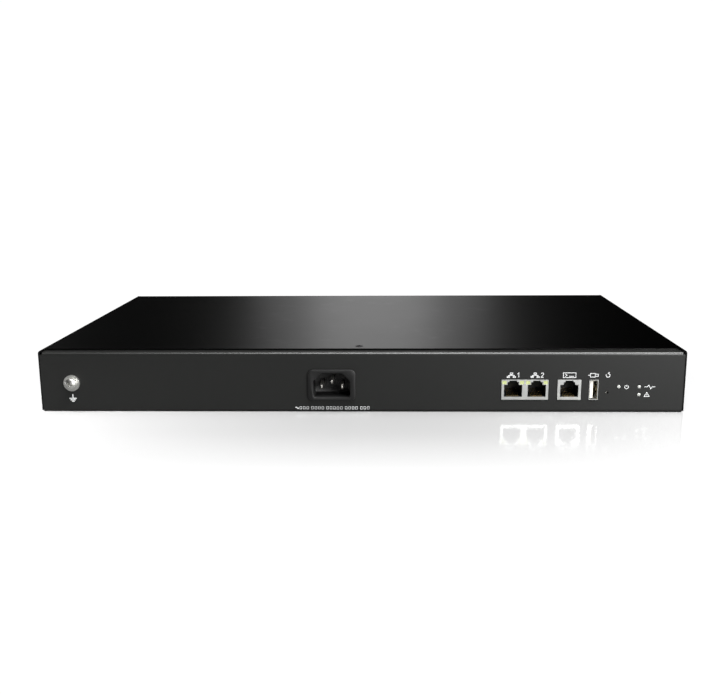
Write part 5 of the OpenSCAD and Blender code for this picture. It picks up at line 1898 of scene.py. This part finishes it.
@dataclass
class Studio:
    """A white floor that fades into a white surround, soft lamps and the camera."""

    lens: float = 45.53
    sensor: float = 36.0
    camera_at: Point = (0.0212, -0.7204, 0.1705)
    pitch: float = -12.14
    yaw: float = 2.02
    roll: float = 0.45
    shift_x: float = -0.0017
    shift_y: float = 0.007
    floor_r: float = 3.0
    # The share of the floor that glossy rays see as black: painted shade in the floor's reflections on the
    # case.
    muting: float = 0.75
    lamps: tuple[Softbox, ...] = (
        Softbox("back_strip", (-0.035, 2.2, 0.75), (-0.01, 0, 0.04), 0.4, 1.1, 1.0),
        Softbox("back_halo", (-0.035, 2.3, 0.75), (-0.01, 0, 0.04), 0.8, 1.1, 1.1),
        Softbox("overhead", (0.45, -0.45, 1.5), (0.45, -0.45, 0), 1.4, 0.7, 78, Reach.ALL_BUT_COVER),
        Softbox("right_key", (0.8, -1.15, 0.42), (0.15, -0.12, 0.02), 0.6, 0.7, 20, Reach.ALL_BUT_COVER),
        Softbox("front_right", (1.6, -1.6, 0.95), (0, 0, 0.04), 0.9, 0.7, 3, Reach.OBJECT),
        Softbox("back_left", (-1.6, 1.6, 1.05), (0, 0, 0.04), 0.9, 0.7, 3, Reach.OBJECT),
        Softbox("right_side", (1.6, 0.05, 0.02), (0.22, 0.05, 0.02), 0.8, 0.04, 1.2, Reach.OBJECT),
        Softbox("left_side", (-1.6, 0.05, 0.02), (-0.22, 0.05, 0.02), 0.8, 0.04, 1.2, Reach.OBJECT),
        Softbox("front_card", (0.0, -1.3, 0.13), (0, -0.12, 0.02), 1.8, 0.24, 10, Reach.METAL),
        Softbox("floor_wash", (-0.05, -0.3, 1.6), (-0.05, -0.3, 0), 1.6, 1.6, 12.5, Reach.FLOOR),
        Softbox("floor_left", (-0.29, -0.17, 0.2), (-0.29, -0.17, 0), 0.2, 0.1, 0.6, Reach.FLOOR),
        Softbox("floor_right", (0.29, -0.18, 0.2), (0.29, -0.18, 0), 0.15, 0.15, 0.2, Reach.FLOOR),
        Softbox("floor_front", (0.6, -0.8, 0.7), (0.6, -0.8, 0), 0.5, 0.5, 12, Reach.FLOOR),
    )

    def world(self) -> None:
        """A surround that the camera sees as white and that lights the object only faintly."""
        world = bpy.data.worlds.new("surround")
        world.use_nodes = True
        bpy.context.scene.world = world
        tree = world.node_tree
        tree.nodes.clear()
        rays = tree.nodes.new("ShaderNodeLightPath")
        seen = tree.nodes.new("ShaderNodeBackground")
        lit = tree.nodes.new("ShaderNodeBackground")
        seen.inputs["Color"].default_value = (1, 1, 1, 1)
        seen.inputs["Strength"].default_value = 1.02
        lit.inputs["Color"].default_value = (1, 1, 1, 1)
        lit.inputs["Strength"].default_value = 0.004
        pick = tree.nodes.new("ShaderNodeMixShader")
        out = tree.nodes.new("ShaderNodeOutputWorld")
        tree.links.new(rays.outputs["Is Camera Ray"], pick.inputs[0])
        tree.links.new(lit.outputs[0], pick.inputs[1])
        tree.links.new(seen.outputs[0], pick.inputs[2])
        tree.links.new(pick.outputs[0], out.inputs["Surface"])

    def floor(self) -> bpy.types.Object:
        """A large white floor with a faint polish, shown mostly black to glossy rays as painted shade in its
        reflections on the case.

        Returns:
            The floor.
        """
        mesh = bpy.data.meshes.new("floor")
        sides = 96
        ring = [self.floor_r * Vector((math.cos(a), math.sin(a), 0)) for a in turns(sides)]
        mesh.from_pydata(ring, [], [tuple(range(sides))])
        made = bpy.data.objects.new("floor", mesh)
        bpy.context.scene.collection.objects.link(made)
        mix = Recipe("floor_white")
        haze = mix.noise(300, 2)
        polish = {"Roughness": 0.12 + haze * 0.02, "Coat Weight": 0.3, "Coat Roughness": 0.03}
        inputs = {"Base Color": (0.8, 0.8, 0.8), **polish}
        polished = mix.node("ShaderNodeBsdfPrincipled", {}, inputs)
        across, along = mix.coordinate(0), mix.coordinate(1)
        aside = across.most(across * -1).between(222, 300)
        ahead = (along * -1).between(165, 290)
        behind = along.between(60, 200)
        away = aside.most(ahead).most(behind)
        rays = mix.node("ShaderNodeLightPath").outputs
        glow = mix.node("ShaderNodeEmission", {}, {"Color": (1.0, 1.0, 1.0), "Strength": 1.05})
        dark = mix.node("ShaderNodeBsdfDiffuse", {}, {"Color": (0.0, 0.0, 0.0)})
        share = away * Value(mix, rays["Is Camera Ray"])
        # Glossy rays see the floor partly black: painted shade in its reflections on the case.
        muted = Value(mix, rays["Is Glossy Ray"]) * self.muting
        white = mix.node("ShaderNodeMixShader", {}, {0: share, 1: polished.outputs[0], 2: glow.outputs[0]})
        both = mix.node("ShaderNodeMixShader", {}, {0: muted, 1: white.outputs[0], 2: dark.outputs[0]})
        mix.node("ShaderNodeOutputMaterial", {}, {"Surface": both.outputs[0]})
        mesh.materials.append(mix.material)
        return made

    def light(self, floor: bpy.types.Object) -> None:
        """Hangs the lamps, each of which shines only on what it is meant to reach."""
        groups = {reach: bpy.data.collections.new(reach.value) for reach in Reach}
        cover = frame["nodes"]["top_cover"]
        for piece in bpy.context.scene.objects:
            if piece.type != "MESH":
                continue
            if piece is floor:
                groups[Reach.FLOOR].objects.link(piece)
                continue
            groups[Reach.OBJECT].objects.link(piece)
            if piece is not cover:
                groups[Reach.ALL_BUT_COVER].objects.link(piece)
            if piece.data.materials and isinstance(FINISHES.get(piece.data.materials[0].name), Metal):
                groups[Reach.METAL].objects.link(piece)
        for lamp in self.lamps:
            data = bpy.data.lights.new(lamp.name, "AREA")
            data.shape = "RECTANGLE"
            data.size, data.size_y, data.energy = lamp.width, lamp.height, lamp.power
            made = bpy.data.objects.new(lamp.name, data)
            made.location = lamp.at
            way = Vector(lamp.aim) - Vector(lamp.at)
            made.rotation_euler = way.to_track_quat("-Z", "Y").to_euler()
            made.light_linking.receiver_collection = groups[lamp.reach]
            bpy.context.scene.collection.objects.link(made)
        self.surround(groups[Reach.FLOOR])

    def surround(self, room: bpy.types.Collection) -> None:
        """A ring of white wall around the floor that only the floor mirrors."""
        mesh = bpy.data.meshes.new("surround_wall")
        count, r, h = 64, 9.0, 6.0
        points = [(r * math.cos(a), r * math.sin(a), z) for z in (0.0, h) for a in turns(count)]
        faces = [(k, (k + 1) % count, count + (k + 1) % count, count + k) for k in range(count)]
        mesh.from_pydata(points, [], faces)
        wall = bpy.data.objects.new("surround_wall", mesh)
        bpy.context.scene.collection.objects.link(wall)
        material = bpy.data.materials.new("wall_glow")
        material.use_nodes = True
        tree = material.node_tree
        tree.nodes.clear()
        glow = tree.nodes.new("ShaderNodeEmission")
        glow.inputs["Strength"].default_value = 1.0
        out = tree.nodes.new("ShaderNodeOutputMaterial")
        tree.links.new(glow.outputs[0], out.inputs["Surface"])
        mesh.materials.append(material)
        wall.visible_camera = False
        wall.visible_shadow = False
        wall.light_linking.receiver_collection = room

    def camera(self) -> None:
        """The camera, with its lens and its turn."""
        data = bpy.data.cameras.new("camera")
        data.lens, data.sensor_width = self.lens, self.sensor
        data.shift_x, data.shift_y = self.shift_x, self.shift_y
        made = bpy.data.objects.new("camera", data)
        turn = (
            Matrix.Rotation(math.radians(self.yaw), 4, "Z")
            @ Matrix.Rotation(math.radians(self.pitch), 4, "X")
            @ Matrix.Rotation(math.radians(self.roll), 4, "Y")
            @ Matrix.Rotation(math.radians(90), 4, "X")
        )
        made.matrix_world = Matrix.Translation(self.camera_at) @ turn
        bpy.context.scene.collection.objects.link(made)
        bpy.context.scene.camera = made

    def make(self) -> None:
        """Sets up the view transform, the surround, the floor, the lamps and the camera."""
        scene = bpy.context.scene
        scene.view_settings.view_transform = "Standard"
        scene.view_settings.look = "None"
        self.camera()
        self.world()
        self.light(self.floor())


def main() -> None:
    """Builds the sub-assemblies in order, then the studio around them."""
    logging.basicConfig(level=logging.INFO, format="%(message)s")
    Enclosure().dress()
    PanelPrint().make()
    PowerInlet().make()
    Ports().make()
    MainBoard().make()
    PowerSupply().make()
    for node, name, body in (
        ("fan_front_rotor", "front_fan", Body.FRONT_ROTOR),
        ("fan_rear_rotor", "rear_fan", Body.REAR_ROTOR),
    ):
        fan = Fan(node, name, body)
        fan.rotor()
        fan.label()
    Harness().make()
    Studio().make()


if __name__ == "__main__":
    main()
